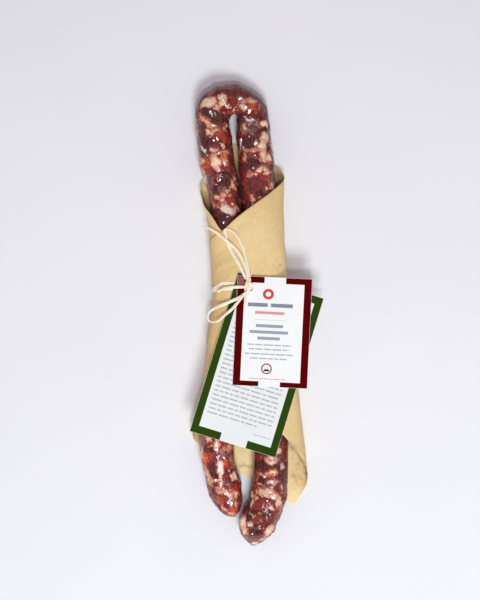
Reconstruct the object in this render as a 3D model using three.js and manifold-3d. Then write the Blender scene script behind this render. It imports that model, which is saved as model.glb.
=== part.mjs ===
// A dried sausage bent double in a sheet of kraft paper, tied with raffia, with two printed hang tags.
// Millimetres. +Y points to the bend, +X to the right as seen from above, +Z up, and z = 0 is the floor.
import * as THREE from "three";
import { mergeVertices } from "three/addons/utils/BufferGeometryUtils.js";
import Module from "manifold-3d";

const wasm = await Module();
wasm.setup();

// Sausage: the two legs as [x, y, rise of the underside, radius], and the round bend that joins them.
const leftLeg = [
  [-16.8, -161.8, 9.4, 0.8],
  [-18.1, -159.2, 5.8, 5.2],
  [-19.8, -154.8, 2.6, 8.9],
  [-22.2, -147.7, 0.6, 11.9],
  [-25.0, -138.1, 0.0, 13.6],
  [-29.4, -121.5, 0.0, 13.2],
  [-31.4, -107.7, 0.0, 13.9],
  [-31.0, -93.3, 0.0, 13.9],
  [-29.0, -75.7, 0.0, 13.9],
  [-24.0, -35.7, 0.0, 13.8],
  [-19.3, 8.0, 0.0, 13.6],
  [-19.3, 30.0, 0.0, 13.6],
  [-21.6, 62.0, 0.0, 13.6],
  [-25.7, 100.3, 0.0, 13.1],
  [-30.7, 119.5, 0.0, 13.9],
  [-33.8, 142.7, 0.0, 14.0],
];
const rightLeg = [
  [-2.4, 143.5, 0.0, 13.6],
  [-0.6, 129.9, 0.0, 14.0],
  [0.2, 116.3, 0.0, 14.2],
  [1.4, 103.0, 0.0, 14.2],
  [4.4, 68.3, 0.0, 13.8],
  [8.6, 30.0, 0.0, 13.6],
  [8.8, 8.0, 0.0, 13.6],
  [11.0, -35.7, 0.0, 13.8],
  [12.2, -83.7, 0.0, 13.9],
  [11.8, -110.1, 0.0, 13.9],
  [11.4, -130.1, 0.0, 14.2],
  [9.8, -144.5, 0.0, 14.4],
  [6.2, -155.7, 0.0, 14.5],
  [1.3, -166.1, 0.2, 15.0],
  [-1.2, -174.1, 1.2, 12.8],
  [-2.2, -180.1, 4.2, 7.8],
  [-2.8, -183.7, 7.6, 3.0],
  [-3.1, -184.9, 9.6, 0.8],
];
const touchGap = 0.3;
const paperBed = [-158, -150, 141, 152];
const bendCentre = [-19.0, 156.5];
const bendRadius = 16.4;
const bendThickness = [13.6, 14.6, 13.6, 12.2, 11.6, 12.6, 13.0];
const sausageSides = 22;
const sausageStep = 6.2;
const casingRelief = 0.45;
const wrappedFrom = -118;
const wrappedTo = 112;

// Paper: a sheet wound once and a bit round both legs, laid corner to corner along them.
const paperThickness = 0.4;
const layerPitch = 0.8;
const fillHeight = 28.6;
const sheetTop = [-19.6, 145.7];
const sheetRight = [152.2, 22.7];
const sheetBottom = [30.6, -153.4];
const sheetLeft = [-146.5, -48.0];
const sheetCells = 38;
const arcSteps = 7;
// The top corner is pressed back from this place on, over this reach.
const bluntFrom = 133;
const bluntReach = 6.9;
// The lower left hem is drawn up by this share of its distance beyond this place across the sheet.
const hemRise = 0.17;
const hemRiseFrom = -28;
// The upper edges cross a little lower above the legs than on a plain roll.
const crossing = [-26, 71];
const crossingPull = [-1.4, -3.2];
const crossingReach = [8.5, 13];
// The wrap at each place along it: [y, left x, right x, left height, right height, left and right fullness].
const wrapSides = [
  [-153.4, -56.6, 41.2, 14.0, 9.0, 2.8, 2.5],
  [-131.7, -56.6, 41.2, 14.0, 9.0, 2.8, 2.5],
  [-115.7, -56.0, 39.8, 14.0, 9.0, 2.8, 2.5],
  [-97.3, -52.0, 37.6, 14.0, 9.5, 2.5, 2.5],
  [-77.3, -46.8, 35.2, 14.5, 11.0, 2.0, 2.2],
  [-54.9, -43.0, 32.6, 15.0, 13.0, 2.0, 2.0],
  [-24.5, -39.2, 29.2, 15.5, 15.0, 2.0, 2.0],
  [9.1, -34.6, 26.0, 16.0, 16.0, 2.0, 2.0],
  [23.5, -34.6, 25.0, 16.0, 16.0, 2.0, 2.0],
  [45.0, -36.2, 23.4, 16.0, 16.0, 2.0, 2.0],
  [60.3, -37.4, 22.2, 16.0, 16.0, 2.4, 2.0],
  [81.1, -40.4, 21.6, 15.5, 15.5, 3.1, 2.0],
  [100.3, -46.0, 21.5, 15.0, 15.0, 3.3, 2.0],
  [145.7, -47.4, 22.8, 15.0, 15.0, 3.3, 2.0],
];
const liftFrom = [-48, -14];
const liftTo = [104, 68];

// Raffia: two turns round the waist, a knot over the tags' holes, and three free strands.
const strandWidth = 2.6;
const strandThickness = 0.4;
const bandPlaces = [20.7, 25.3];
const holeCentre = [-5.0, 21.7];
const stemRadius = 1.2;
const knotCentre = [-5.3, 22.9, 36.5];
const knotSize = [2.6, 4.2, 1.8];
const overStrand = [
  [-29.0, 20.9, 31.2],
  [-24.5, 21.3, 33.0],
  [-20.4, 21.8, 34.5],
  [-15.6, 22.2, 35.0],
  [-6.0, 22.6, 35.9],
];
const shortTail = [
  [-6.0, 20.2, 36.0],
  [-6.8, 16.6, 35.6],
  [-8.2, 12.0, 35.2],
  [-9.8, 7.4, 35.0],
];
const freeWidth = 2.4;
const freeThickness = 0.5;
const bowLoop = [
  [-8.3, 28.9, 35.3],
  [-11.5, 36.1, 34.7],
  [-13.4, 40.0, 34.1],
  [-15.7, 44.0, 33.6],
  [-18.2, 47.9, 33.1],
  [-20.2, 51.9, 32.8],
  [-22.1, 55.9, 32.6],
  [-23.3, 59.4, 32.6],
  [-24.2, 63.4, 32.7],
  [-24.9, 66.1, 32.9],
  [-24.8, 67.8, 33.1],
  [-23.6, 68.5, 33.2],
  [-21.7, 68.0, 33.3],
  [-19.0, 66.7, 33.2],
  [-16.7, 64.9, 33.2],
  [-14.4, 61.6, 33.0],
  [-12.7, 58.0, 32.9],
  [-10.4, 53.1, 32.9],
  [-9.1, 48.3, 33.1],
  [-8.1, 44.0, 33.5],
  [-6.9, 37.7, 34.2],
  [-5.5, 28.8, 35.2],
];
const sideLoop = [
  [-8.7, 17.9, 35.3],
  [-11.5, 15.5, 35.2],
  [-14.6, 13.7, 35.1],
  [-19.4, 11.6, 34.8],
  [-24.9, 9.2, 34.0],
  [-30.1, 7.0, 32.6],
  [-34.4, 4.9, 30.8],
  [-37.1, 2.8, 29.6],
  [-38.5, 0.3, 29.0],
  [-38.8, -2.1, 28.8],
  [-37.9, -4.1, 29.0],
  [-35.6, -5.2, 29.8],
  [-32.4, -5.1, 31.6],
  [-29.7, -4.0, 33.4],
  [-26.8, -1.5, 34.5],
  [-24.1, 1.0, 34.6],
  [-21.0, 3.6, 34.7],
  [-17.8, 6.7, 35.1],
  [-15.4, 9.6, 35.4],
  [-13.0, 12.6, 35.8],
  [-10.7, 15.6, 36.2],
];
const longTail = [
  [-6.5, 28.4, 36.5],
  [-7.7, 35.3, 36.0],
  [-9.2, 40.0, 35.4],
  [-11.2, 44.8, 34.8],
  [-13.7, 49.0, 34.3],
  [-16.8, 53.0, 34.0],
  [-20.6, 56.6, 33.9],
  [-24.5, 60.0, 33.8],
  [-28.1, 63.0, 33.4],
  [-31.6, 65.8, 32.7],
  [-36.0, 68.3, 31.4],
  [-39.6, 69.7, 29.9],
  [-43.1, 70.7, 28.4],
];

// Tags: the hole's place is measured from the middle of the card.
const tagThickness = 0.6;
const tagHoleRadius = 2.4;
const frontTag = { size: [59.2, 86.8], centre: [12.6, -13.1], turn: -2.8, height: 33.8 };
const backTag = { size: [70.9, 131.4], centre: [0.2, -39.0], turn: -17.0, height: 32.9 };

const kraftFinish = new THREE.MeshStandardMaterial({ color: 0xdcbc88, roughness: 0.85 });
const meatFinish = new THREE.MeshStandardMaterial({ color: 0x7a3a34, roughness: 0.35 });
const raffiaFinish = new THREE.MeshStandardMaterial({ color: 0xf0dfbe, roughness: 0.7 });
const maroonCardFinish = new THREE.MeshStandardMaterial({ color: 0x6e0a10, roughness: 0.5 });
const greenCardFinish = new THREE.MeshStandardMaterial({ color: 0x3c5a1c, roughness: 0.5 });

function smoothStep(from, to, value) {
  const share = THREE.MathUtils.clamp((value - from) / (to - from), 0, 1);
  return share * share * (3 - 2 * share);
}

function tableAt(rows, y) {
  const last = rows.length - 1;
  const place = THREE.MathUtils.clamp(y, rows[0][0], rows[last][0]);
  const next = Math.max(1, rows.findIndex((row) => row[0] >= place));
  const [low, high] = [rows[next - 1], rows[next]];
  const share = (place - low[0]) / (high[0] - low[0]);
  return low.map((value, column) => THREE.MathUtils.lerp(value, high[column], share));
}

// A smooth route through points that carry any number of values.
function catmullRom(points, place) {
  const last = points.length - 1;
  const start = Math.min(Math.floor(place), last - 1);
  const t = place - start;
  const [a, b, c, d] = [-1, 0, 1, 2].map((step) => points[THREE.MathUtils.clamp(start + step, 0, last)]);
  return b.map((value, k) => {
    const slopeIn = (c[k] - a[k]) / 2;
    const slopeOut = (d[k] - b[k]) / 2;
    const square = (3 * (c[k] - value) - 2 * slopeIn - slopeOut) * t * t;
    return value + slopeIn * t + square + (2 * (value - c[k]) + slopeIn + slopeOut) * t * t * t;
  });
}

// Stations at equal distances along the route.
function evenStations(points, step) {
  const fine = [];
  for (let i = 0; i <= (points.length - 1) * 24; i += 1) fine.push(catmullRom(points, i / 24));
  const lengths = [0];
  for (let i = 1; i < fine.length; i += 1) {
    lengths.push(lengths[i - 1] + Math.hypot(fine[i][0] - fine[i - 1][0], fine[i][1] - fine[i - 1][1]));
  }
  const total = lengths[lengths.length - 1];
  const count = Math.round(total / step);
  const rows = fine.map((point, i) => [lengths[i], ...point]);
  return Array.from({ length: count + 1 }, (_, i) => tableAt(rows, (total * i) / count));
}

// A closed skin over rings of equal point counts, with a flat cap at each end.
function skinRings(rings) {
  const sides = rings[0].length;
  const positions = rings.flat();
  const index = [];
  for (let r = 0; r + 1 < rings.length; r += 1) {
    for (let k = 0; k < sides; k += 1) {
      const a = r * sides + k;
      const b = r * sides + ((k + 1) % sides);
      index.push(a, b, a + sides, b, b + sides, a + sides);
    }
  }
  const far = (rings.length - 1) * sides;
  for (let k = 1; k + 1 < sides; k += 1) {
    index.push(0, k + 1, k, far, far + k, far + k + 1);
  }
  return closedGeometry(positions, index);
}

function closedGeometry(positions, index) {
  const volume = signedVolume(positions, index);
  const outward = volume > 0 ? index : index.slice().reverse();
  const geometry = new THREE.BufferGeometry();
  geometry.setAttribute("position", new THREE.Float32BufferAttribute(positions.flat(), 3));
  geometry.setIndex(outward);
  geometry.computeVertexNormals();
  return geometry;
}

function signedVolume(positions, index) {
  let sum = 0;
  for (let i = 0; i < index.length; i += 3) {
    const [a, b, c] = [positions[index[i]], positions[index[i + 1]], positions[index[i + 2]]];
    sum += a[0] * (b[1] * c[2] - b[2] * c[1]) + a[1] * (b[2] * c[0] - b[0] * c[2]);
    sum += a[2] * (b[0] * c[1] - b[1] * c[0]);
  }
  return sum / 6;
}

function sausageRoute() {
  const bend = bendThickness.map((radius, i) => {
    const angle = Math.PI * (1 - i / (bendThickness.length - 1));
    const x = bendCentre[0] + bendRadius * Math.cos(angle);
    const y = bendCentre[1] + bendRadius * Math.sin(angle);
    return [x, y, 0, radius];
  });
  return [...leftLeg, ...bend, ...rightLeg];
}

// Lumps of the filling under the casing. The paper holds the wrapped stretch smooth.
function casingLump(place, angle, y) {
  const free = 1 - smoothStep(wrappedFrom - 8, wrappedFrom, y) * (1 - smoothStep(wrappedTo - 8, wrappedTo, y));
  const slow = Math.sin(place * 0.31 + 2 * angle) + Math.sin(place * 0.19 - 3 * angle + 1.3);
  const quick = Math.sin(place * 0.47 + angle + 2.1);
  return (casingRelief * free * (slow + quick)) / 3;
}

// The sausage lies on the paper where there is some under it, and on the floor at the bend and the ends.
function sausageBed(y) {
  const share = smoothStep(paperBed[0], paperBed[1], y) * smoothStep(paperBed[3], paperBed[2], y);
  return share * (wrapLevels(y).back + paperThickness / 2 + touchGap);
}

function sausageGeometry() {
  const stations = evenStations(sausageRoute(), sausageStep);
  const rings = stations.map(([place, x, y, rise, radius], i) => {
    const low = rise + sausageBed(y);
    const before = stations[Math.max(i - 1, 0)];
    const after = stations[Math.min(i + 1, stations.length - 1)];
    const heading = Math.atan2(after[2] - before[2], after[1] - before[1]);
    const across = [Math.sin(heading), -Math.cos(heading)];
    return Array.from({ length: sausageSides }, (_, k) => {
      const angle = (2 * Math.PI * k) / sausageSides;
      const reach = radius + casingLump(place, angle, y) * Math.min(1, radius / 12);
      const side = reach * Math.cos(angle);
      const height = Math.max(low + radius + reach * Math.sin(angle), low);
      return [x + side * across[0], y + side * across[1], height];
    });
  });
  return skinRings(rings);
}

function legCentres(y) {
  const left = leftLeg.map((row) => [row[1], row[0]]);
  const right = rightLeg.map((row) => [row[1], row[0]]).reverse();
  return [tableAt(left, y)[1], tableAt(right, y)[1]];
}

// Half a turn of paper from a flat stretch round the side of the wrap to the other flat stretch.
function sideTurn(start, side, end, power) {
  const points = [];
  for (let i = 0; i <= 2 * arcSteps; i += 1) {
    const flat = i < arcSteps ? start : end;
    const angle = (Math.PI / 2) * (i < arcSteps ? i / arcSteps : 2 - i / arcSteps);
    const out = Math.sin(angle) ** (2 / power);
    const up = Math.max(Math.cos(angle), 0) ** (2 / power);
    points.push([flat[0] + (side[0] - flat[0]) * out, side[1] + (flat[1] - side[1]) * up]);
  }
  return points;
}

function wrapLevels(y) {
  const lift = smoothStep(liftFrom[0], liftFrom[1], y) * smoothStep(liftTo[0], liftTo[1], y);
  const back = paperThickness / 2 + 2 * layerPitch * lift;
  const under = paperThickness / 2 + layerPitch * lift;
  const inner = back + paperThickness + fillHeight;
  return { back, under, inner, outer: inner + layerPitch };
}

// The sheet's winding at one place along the wrap, from its tucked end to its outer end.
function wrapSection(y) {
  const [leftX, rightX] = legCentres(y);
  const [, leftSide, rightSide, leftHeight, rightHeight, leftPower, rightPower] = tableAt(wrapSides, y);
  const level = wrapLevels(y);
  const leftFoot = Math.min(leftX, leftSide + leftHeight + 2);
  const rightFoot = Math.max(rightX, rightSide - rightHeight - 2);
  const leftOuter = [leftSide, leftHeight];
  const leftInner = [leftSide + layerPitch, leftHeight];
  const rightOuter = [rightSide, rightHeight];
  const rightInner = [rightSide - layerPitch, rightHeight];
  const tucked = sideTurn([rightFoot, level.back + layerPitch], rightInner, [rightX, level.inner], rightPower);
  const innerTurn = sideTurn([leftX, level.inner], leftInner, [leftFoot, level.back], leftPower);
  const rise = sideTurn([rightFoot, level.back], rightOuter, [rightX, level.outer], rightPower);
  const outerTurn = sideTurn([leftX, level.outer], leftOuter, [leftFoot, level.under], leftPower);
  const points = [...tucked, ...innerTurn, ...rise, ...outerTurn, [rightX, level.under]];
  const backStart = tucked.length + innerTurn.length - 1;
  return { points, backStart };
}

// Where the flat sheet's point (across, along) lies in the winding. Along the back, across is x.
function sheetPoint(across, along) {
  const drawn = hemRise * Math.max(0, hemRiseFrom - across) * (1 - smoothStep(-105, -60, along));
  const past = Math.max(0, along + drawn - bluntFrom);
  const y = along + drawn - past + bluntReach * (1 - Math.exp(-past / bluntReach));
  const { points, backStart } = wrapSection(y);
  const lengths = [0];
  for (let i = 1; i < points.length; i += 1) {
    lengths.push(lengths[i - 1] + Math.hypot(points[i][0] - points[i - 1][0], points[i][1] - points[i - 1][1]));
  }
  const offset = points[backStart][0] - lengths[backStart];
  const rows = points.map((point, i) => [lengths[i] + offset, ...point]);
  const [, x, z] = tableAt(rows, across);
  const away = ((x - crossing[0]) / crossingReach[0]) ** 2 + ((y - crossing[1]) / crossingReach[1]) ** 2;
  const pull = Math.exp(-away) * smoothStep(20, 27, z);
  return new THREE.Vector3(x + crossingPull[0] * pull, y + crossingPull[1] * pull, z);
}

function sheetNormal(across, y) {
  const small = 0.6;
  const along = sheetPoint(across, y + small).sub(sheetPoint(across, y - small));
  const sideways = sheetPoint(across + small, y).sub(sheetPoint(across - small, y));
  return sideways.cross(along).normalize();
}

function paperGeometry() {
  const inside = [];
  const outside = [];
  for (let i = 0; i <= sheetCells; i += 1) {
    for (let j = 0; j <= sheetCells; j += 1) {
      const [a, b] = [i / sheetCells, j / sheetCells];
      const corner = (k) =>
        (1 - a) * ((1 - b) * sheetTop[k] + b * sheetLeft[k]) + a * ((1 - b) * sheetRight[k] + b * sheetBottom[k]);
      const point = sheetPoint(corner(0), corner(1));
      const normal = sheetNormal(corner(0), corner(1));
      inside.push(point.clone().addScaledVector(normal, paperThickness / 2).toArray());
      outside.push(point.clone().addScaledVector(normal, -paperThickness / 2).toArray());
    }
  }
  return sheetSkin(inside, outside, sheetCells);
}

function sheetSkin(inside, outside, cells) {
  const row = cells + 1;
  const shift = row * row;
  const index = [];
  const quad = (a, b, c, d) => index.push(a, b, c, a, c, d);
  for (let i = 0; i < cells; i += 1) {
    for (let j = 0; j < cells; j += 1) {
      const a = i * row + j;
      quad(a, a + 1, a + row + 1, a + row);
      quad(shift + a, shift + a + row, shift + a + row + 1, shift + a + 1);
    }
  }
  for (let i = 0; i < cells; i += 1) {
    const [near, far, low, high] = [i, cells * row + i, i * row, i * row + cells];
    quad(near, shift + near, shift + near + 1, near + 1);
    quad(far, far + 1, shift + far + 1, shift + far);
    quad(low, low + row, shift + low + row, shift + low);
    quad(high, shift + high, shift + high + row, high + row);
  }
  return closedGeometry([...inside, ...outside], index);
}

// A flat strand swept level along its route, its section a flattened octagon.
function strandGeometry(route, width, thickness, step) {
  const stations = evenStations(route, step);
  const rings = stations.map(([, x, y, z], i) => {
    const before = stations[Math.max(i - 1, 0)];
    const after = stations[Math.min(i + 1, stations.length - 1)];
    const heading = Math.atan2(after[2] - before[2], after[1] - before[1]);
    return Array.from({ length: 8 }, (_, k) => {
      const angle = (Math.PI * (2 * k + 1)) / 8;
      const side = (width / 2) * Math.cos(angle);
      return [x + side * Math.sin(heading), y - side * Math.cos(heading), z + (thickness / 2) * Math.sin(angle)];
    });
  });
  return skinRings(rings);
}

// One turn of raffia round the wrap, a closed ring outside its paper.
function bandGeometry(y) {
  const [leftX, rightX] = legCentres(y);
  const [, leftSide, rightSide, leftHeight, rightHeight, leftPower, rightPower] = tableAt(wrapSides, y);
  const level = wrapLevels(y);
  const away = (paperThickness + strandThickness) / 2 + touchGap;
  const low = strandThickness / 2;
  const outer = level.outer + away;
  const right = sideTurn([rightX, low], [rightSide + away, rightHeight], [rightX, outer], rightPower);
  const left = sideTurn([leftX, outer], [leftSide - away, leftHeight], [leftX, low], leftPower);
  const outline = [...right, ...left];
  const half = strandThickness / 2;
  const offset = outline.map((point, i) => {
    const before = outline[(i + outline.length - 1) % outline.length];
    const after = outline[(i + 1) % outline.length];
    const reach = Math.hypot(after[0] - before[0], after[1] - before[1]);
    return [((after[1] - before[1]) / reach) * half, (-(after[0] - before[0]) / reach) * half];
  });
  const shape = new THREE.Shape(outline.map(([x, z], i) => new THREE.Vector2(x + offset[i][0], z + offset[i][1])));
  const hole = outline.map(([x, z], i) => new THREE.Vector2(x - offset[i][0], z - offset[i][1]));
  shape.holes.push(new THREE.Path(hole));
  const geometry = new THREE.ExtrudeGeometry(shape, { depth: strandWidth, bevelEnabled: false });
  geometry.rotateX(Math.PI / 2);
  geometry.translate(0, y + strandWidth / 2, 0);
  return geometry;
}

function toManifold(geometry) {
  const bare = geometry.clone();
  bare.deleteAttribute("normal");
  bare.deleteAttribute("uv");
  const merged = mergeVertices(bare, 1e-4);
  const mesh = new wasm.Mesh({
    numProp: 3,
    vertProperties: new Float32Array(merged.attributes.position.array),
    triVerts: new Uint32Array(merged.index.array),
  });
  return new wasm.Manifold(mesh);
}

function fromManifold(solid) {
  const mesh = solid.getMesh();
  const geometry = new THREE.BufferGeometry();
  geometry.setAttribute("position", new THREE.BufferAttribute(new Float32Array(mesh.vertProperties), 3));
  geometry.setIndex(new THREE.BufferAttribute(new Uint32Array(mesh.triVerts), 1));
  geometry.computeVertexNormals();
  return geometry;
}

// The two turns, the stem through the tags' holes, the knot and the short end, joined as one piece.
function tieGeometry() {
  const bandTop = wrapLevels(holeCentre[1]).outer + paperThickness / 2 + touchGap;
  const stemHeight = knotCentre[2] - bandTop;
  const stem = new THREE.CylinderGeometry(stemRadius, stemRadius, stemHeight, 12);
  stem.rotateX(Math.PI / 2);
  stem.translate(holeCentre[0], holeCentre[1], bandTop + stemHeight / 2);
  const bridge = new THREE.BoxGeometry(strandWidth, bandPlaces[1] - bandPlaces[0], strandThickness);
  bridge.translate(holeCentre[0], (bandPlaces[0] + bandPlaces[1]) / 2, bandTop + strandThickness / 2);
  const knot = new THREE.SphereGeometry(1, 14, 9);
  knot.scale(...knotSize);
  knot.translate(...knotCentre);
  const pieces = [...bandPlaces.map(bandGeometry), stem, bridge, knot];
  pieces.push(strandGeometry(overStrand, strandWidth, strandThickness, 2.6));
  pieces.push(strandGeometry(shortTail, freeWidth, freeThickness, 2.6));
  return fromManifold(pieces.map(toManifold).reduce((whole, piece) => whole.add(piece)));
}

function tagGeometry(tag) {
  const [width, length] = tag.size;
  const shape = new THREE.Shape();
  shape.moveTo(-width / 2, -length / 2);
  shape.lineTo(width / 2, -length / 2);
  shape.lineTo(width / 2, length / 2);
  shape.lineTo(-width / 2, length / 2);
  shape.closePath();
  const turn = THREE.MathUtils.degToRad(-tag.turn);
  const offset = new THREE.Vector2(holeCentre[0] - tag.centre[0], holeCentre[1] - tag.centre[1]);
  offset.rotateAround(new THREE.Vector2(0, 0), turn);
  shape.holes.push(new THREE.Path().absarc(offset.x, offset.y, tagHoleRadius, 0, 2 * Math.PI, true));
  return new THREE.ExtrudeGeometry(shape, { depth: tagThickness, bevelEnabled: false, curveSegments: 16 });
}

const parcel = new THREE.Group();

function addPiece(name, geometry, material) {
  const mesh = new THREE.Mesh(geometry, material);
  mesh.name = name;
  parcel.add(mesh);
  return mesh;
}

function addTag(name, tag, material) {
  const mesh = addPiece(name, tagGeometry(tag), material);
  mesh.position.set(tag.centre[0], tag.centre[1], tag.height);
  mesh.rotation.z = THREE.MathUtils.degToRad(tag.turn);
}

addPiece("sausage", sausageGeometry(), meatFinish);
addPiece("paper_wrap", paperGeometry(), kraftFinish);
addPiece("raffia_tie", tieGeometry(), raffiaFinish);
addPiece("raffia_bow_loop", strandGeometry(bowLoop, freeWidth, freeThickness, 4.5), raffiaFinish);
addPiece("raffia_side_loop", strandGeometry(sideLoop, freeWidth, freeThickness, 4.5), raffiaFinish);
addPiece("raffia_long_tail", strandGeometry(longTail, freeWidth, freeThickness, 4.5), raffiaFinish);
addTag("back_tag", backTag, greenCardFinish);
addTag("front_tag", frontTag, maroonCardFinish);

export default parcel;
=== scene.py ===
import math
import random

import bmesh
import bpy
import numpy as np
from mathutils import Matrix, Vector, noise


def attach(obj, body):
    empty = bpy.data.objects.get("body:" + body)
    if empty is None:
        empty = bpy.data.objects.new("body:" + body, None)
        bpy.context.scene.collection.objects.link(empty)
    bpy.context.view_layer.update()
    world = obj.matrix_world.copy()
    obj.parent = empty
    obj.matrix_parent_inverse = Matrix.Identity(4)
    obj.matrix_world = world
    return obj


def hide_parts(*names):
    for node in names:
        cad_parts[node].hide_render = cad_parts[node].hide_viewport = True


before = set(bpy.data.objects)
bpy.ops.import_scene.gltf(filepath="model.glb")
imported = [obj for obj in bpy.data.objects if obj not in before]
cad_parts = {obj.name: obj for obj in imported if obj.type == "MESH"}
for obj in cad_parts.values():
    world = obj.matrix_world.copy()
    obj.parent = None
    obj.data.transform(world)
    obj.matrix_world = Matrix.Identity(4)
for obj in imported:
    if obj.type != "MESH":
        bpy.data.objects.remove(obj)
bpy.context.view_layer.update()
mm = 0.001
noise.seed_set(5)  # the same noise on every run
print("frame loaded:", len(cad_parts), "nodes")


# small helpers

def smoothStep(low, high, value):
    share = np.clip((value - low) / (high - low), 0, 1)
    return share * share * (3 - 2 * share)


def tableAt(rows, y):
    # straight lines between the rows, one array for each column
    table = np.array(rows, float)
    return [np.interp(y, table[:, 0], table[:, k]) for k in range(table.shape[1])]


def catmullRom(points, places):
    points = np.array(points, float)
    last = len(points) - 1
    start = np.minimum(np.floor(places).astype(int), last - 1)
    t = (places - start)[:, None]
    a, b, c, d = (points[np.clip(start + k, 0, last)] for k in (-1, 0, 1, 2))
    slopeIn, slopeOut = (c - a) / 2, (d - b) / 2
    curve = (3 * (c - b) - 2 * slopeIn - slopeOut) * t**2
    return b + slopeIn * t + curve + (2 * (b - c) + slopeIn + slopeOut) * t**3


def resample(table, lengths, places):
    # the rows of a table at other places along it
    return np.column_stack([np.interp(places, lengths, column) for column in table.T])


def evenStations(points, step, fineSteps=24):
    # [distance along, x, y, ...] at equal distances along the route
    spans = len(points) - 1
    fine = catmullRom(points, np.linspace(0, spans, spans * fineSteps + 1))
    lengths = np.r_[0, np.cumsum(np.hypot(*np.diff(fine[:, :2], axis=0).T))]
    places = np.linspace(0, lengths[-1], round(lengths[-1] / step) + 1)
    return np.column_stack([places, resample(fine, lengths, places)])


def unit(vectors):
    return vectors / np.linalg.norm(vectors, axis=1)[:, None]


def turned(x, y, angle):
    # the same place in axes turned by an angle
    return x * math.cos(angle) + y * math.sin(angle), y * math.cos(angle) - x * math.sin(angle)


def makeObject(name, points, faces, materials, faceMaterials=None, smooth=True):
    # a mesh from points in millimetres, with its faces turned outwards
    mesh = bpy.data.meshes.new(name)
    mesh.from_pydata((np.array(points) * mm).tolist(), [], faces)
    for material in materials:
        mesh.materials.append(material)
    if faceMaterials is not None:
        mesh.polygons.foreach_set("material_index", faceMaterials)
    mesh.polygons.foreach_set("use_smooth", [smooth] * len(mesh.polygons))
    mesh.update()
    work = bmesh.new()
    work.from_mesh(mesh)
    bmesh.ops.recalc_face_normals(work, faces=work.faces)
    work.to_mesh(mesh)
    work.free()
    piece = bpy.data.objects.new(name, mesh)
    bpy.context.scene.collection.objects.link(piece)
    return piece


def addValues(piece, name, values):
    layer = piece.data.attributes.new(name, "FLOAT", "POINT")
    layer.data.foreach_set("value", values)


def ringFaces(rings, sides, closed=False):
    # from ring to ring, with two end caps where the run isn't closed
    faces = []
    for r in range(rings if closed else rings - 1):
        step = sides if r < rings - 1 else -r * sides
        for k in range(sides):
            a, b = r * sides + k, r * sides + (k + 1) % sides
            faces.append((a, b, b + step, a + step))
    if not closed:
        faces.append(tuple(range(sides))[::-1])
        faces.append(tuple((rings - 1) * sides + k for k in range(sides)))
    return faces


def slabFaces(rows, columns):
    # a thin slab whose points are one grid given twice: its top, then its underside and rim
    top, rest, shift = [], [], rows * columns
    for i in range(rows - 1):
        for j in range(columns - 1):
            a = i * columns + j
            top.append((a, a + columns, a + columns + 1, a + 1))
            rest.append((shift + a, shift + a + 1, shift + a + columns + 1, shift + a + columns))
    rim = [i * columns for i in range(rows)] + [(rows - 1) * columns + j for j in range(1, columns)]
    rim += [i * columns + columns - 1 for i in range(rows - 2, -1, -1)] + list(range(columns - 2, 0, -1))
    return top, rest + [(a, shift + a, shift + b, b) for a, b in zip(rim, rim[1:] + rim[:1])]


# material helpers

def startMaterial(name, roughness):
    material = bpy.data.materials.new(name)
    material.use_nodes = True
    setShader(material.node_tree, {"Roughness": roughness})
    return material, material.node_tree


def feed(tree, sockets, inputs):
    # each input is another node's output, a number, or a colour or vector
    for name, value in inputs.items():
        socket = sockets[name]
        if isinstance(value, bpy.types.NodeSocket):
            tree.links.new(value, socket)
        elif isinstance(value, tuple):
            socket.default_value = value + (1,) * (len(socket.default_value) - len(value))
        elif value is not None:
            socket.default_value = value


def setShader(tree, inputs):
    feed(tree, tree.nodes["Principled BSDF"].inputs, inputs)


def newNode(tree, kind, output, inputs, **settings):
    node = tree.nodes.new("ShaderNode" + kind)
    for name, value in settings.items():
        setattr(node, name, value)
    feed(tree, node.inputs, inputs)
    return node.outputs[output]


def objectPlace(tree, scale=(1, 1, 1), turn=(0, 0, 0)):
    place = newNode(tree, "TexCoord", "Object", {})
    return newNode(tree, "Mapping", "Vector", {"Vector": place, "Scale": scale, "Rotation": turn})


def noiseNode(tree, place, scale, detail=4.0, roughness=0.55, distortion=0.0):
    return newNode(tree, "TexNoise", "Fac", {"Vector": place, "Scale": scale, "Detail": detail,
                                             "Roughness": roughness, "Distortion": distortion})


def attributeNode(tree, name, output="Fac"):
    return newNode(tree, "Attribute", output, {}, attribute_name=name)


def rampNode(tree, source, *stops):
    # each stop is a place and a colour, or a number for a grey
    node = tree.nodes.new("ShaderNodeValToRGB")
    ramp = node.color_ramp
    while len(ramp.elements) < len(stops):
        ramp.elements.new(0.5)
    for element, (place, colour) in zip(ramp.elements, stops):
        element.position = place
        element.color = (*(colour if isinstance(colour, tuple) else (colour,) * 3), 1)
    tree.links.new(source, node.inputs["Fac"])
    return node.outputs["Color"]


def mixColour(tree, share, first, second, blend="MIX"):
    inputs = {0: share, 6: first, 7: second}
    return newNode(tree, "Mix", 2, inputs, data_type="RGBA", blend_type=blend)


def bumpNode(tree, height, strength, distance, before=None):
    return newNode(tree, "Bump", "Normal", {"Height": height, "Strength": strength,
                                            "Distance": distance, "Normal": before})


def srgb(red, green, blue):
    # a colour as seen on screen, 0 to 255, in the renderer's own linear values
    linear = []
    for value in (red, green, blue):
        value /= 255
        linear.append(value / 12.92 if value <= 0.04045 else ((value + 0.055) / 1.055) ** 2.4)
    return tuple(linear)


# camera, straight above

view = {"height": 1.6, "middle": (-0.013, 0.0123), "seenHeight": 0.48, "sensor": 36, "focusHeight": 0.017}


def makeCamera():
    data = bpy.data.cameras.new("camera")
    data.sensor_fit = "VERTICAL"
    data.sensor_height = view["sensor"]
    data.lens = view["sensor"] * view["height"] / view["seenHeight"]
    camera = bpy.data.objects.new("camera", data)
    camera.location = (*view["middle"], view["height"] + view["focusHeight"])
    bpy.context.scene.collection.objects.link(camera)
    bpy.context.scene.camera = camera


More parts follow.
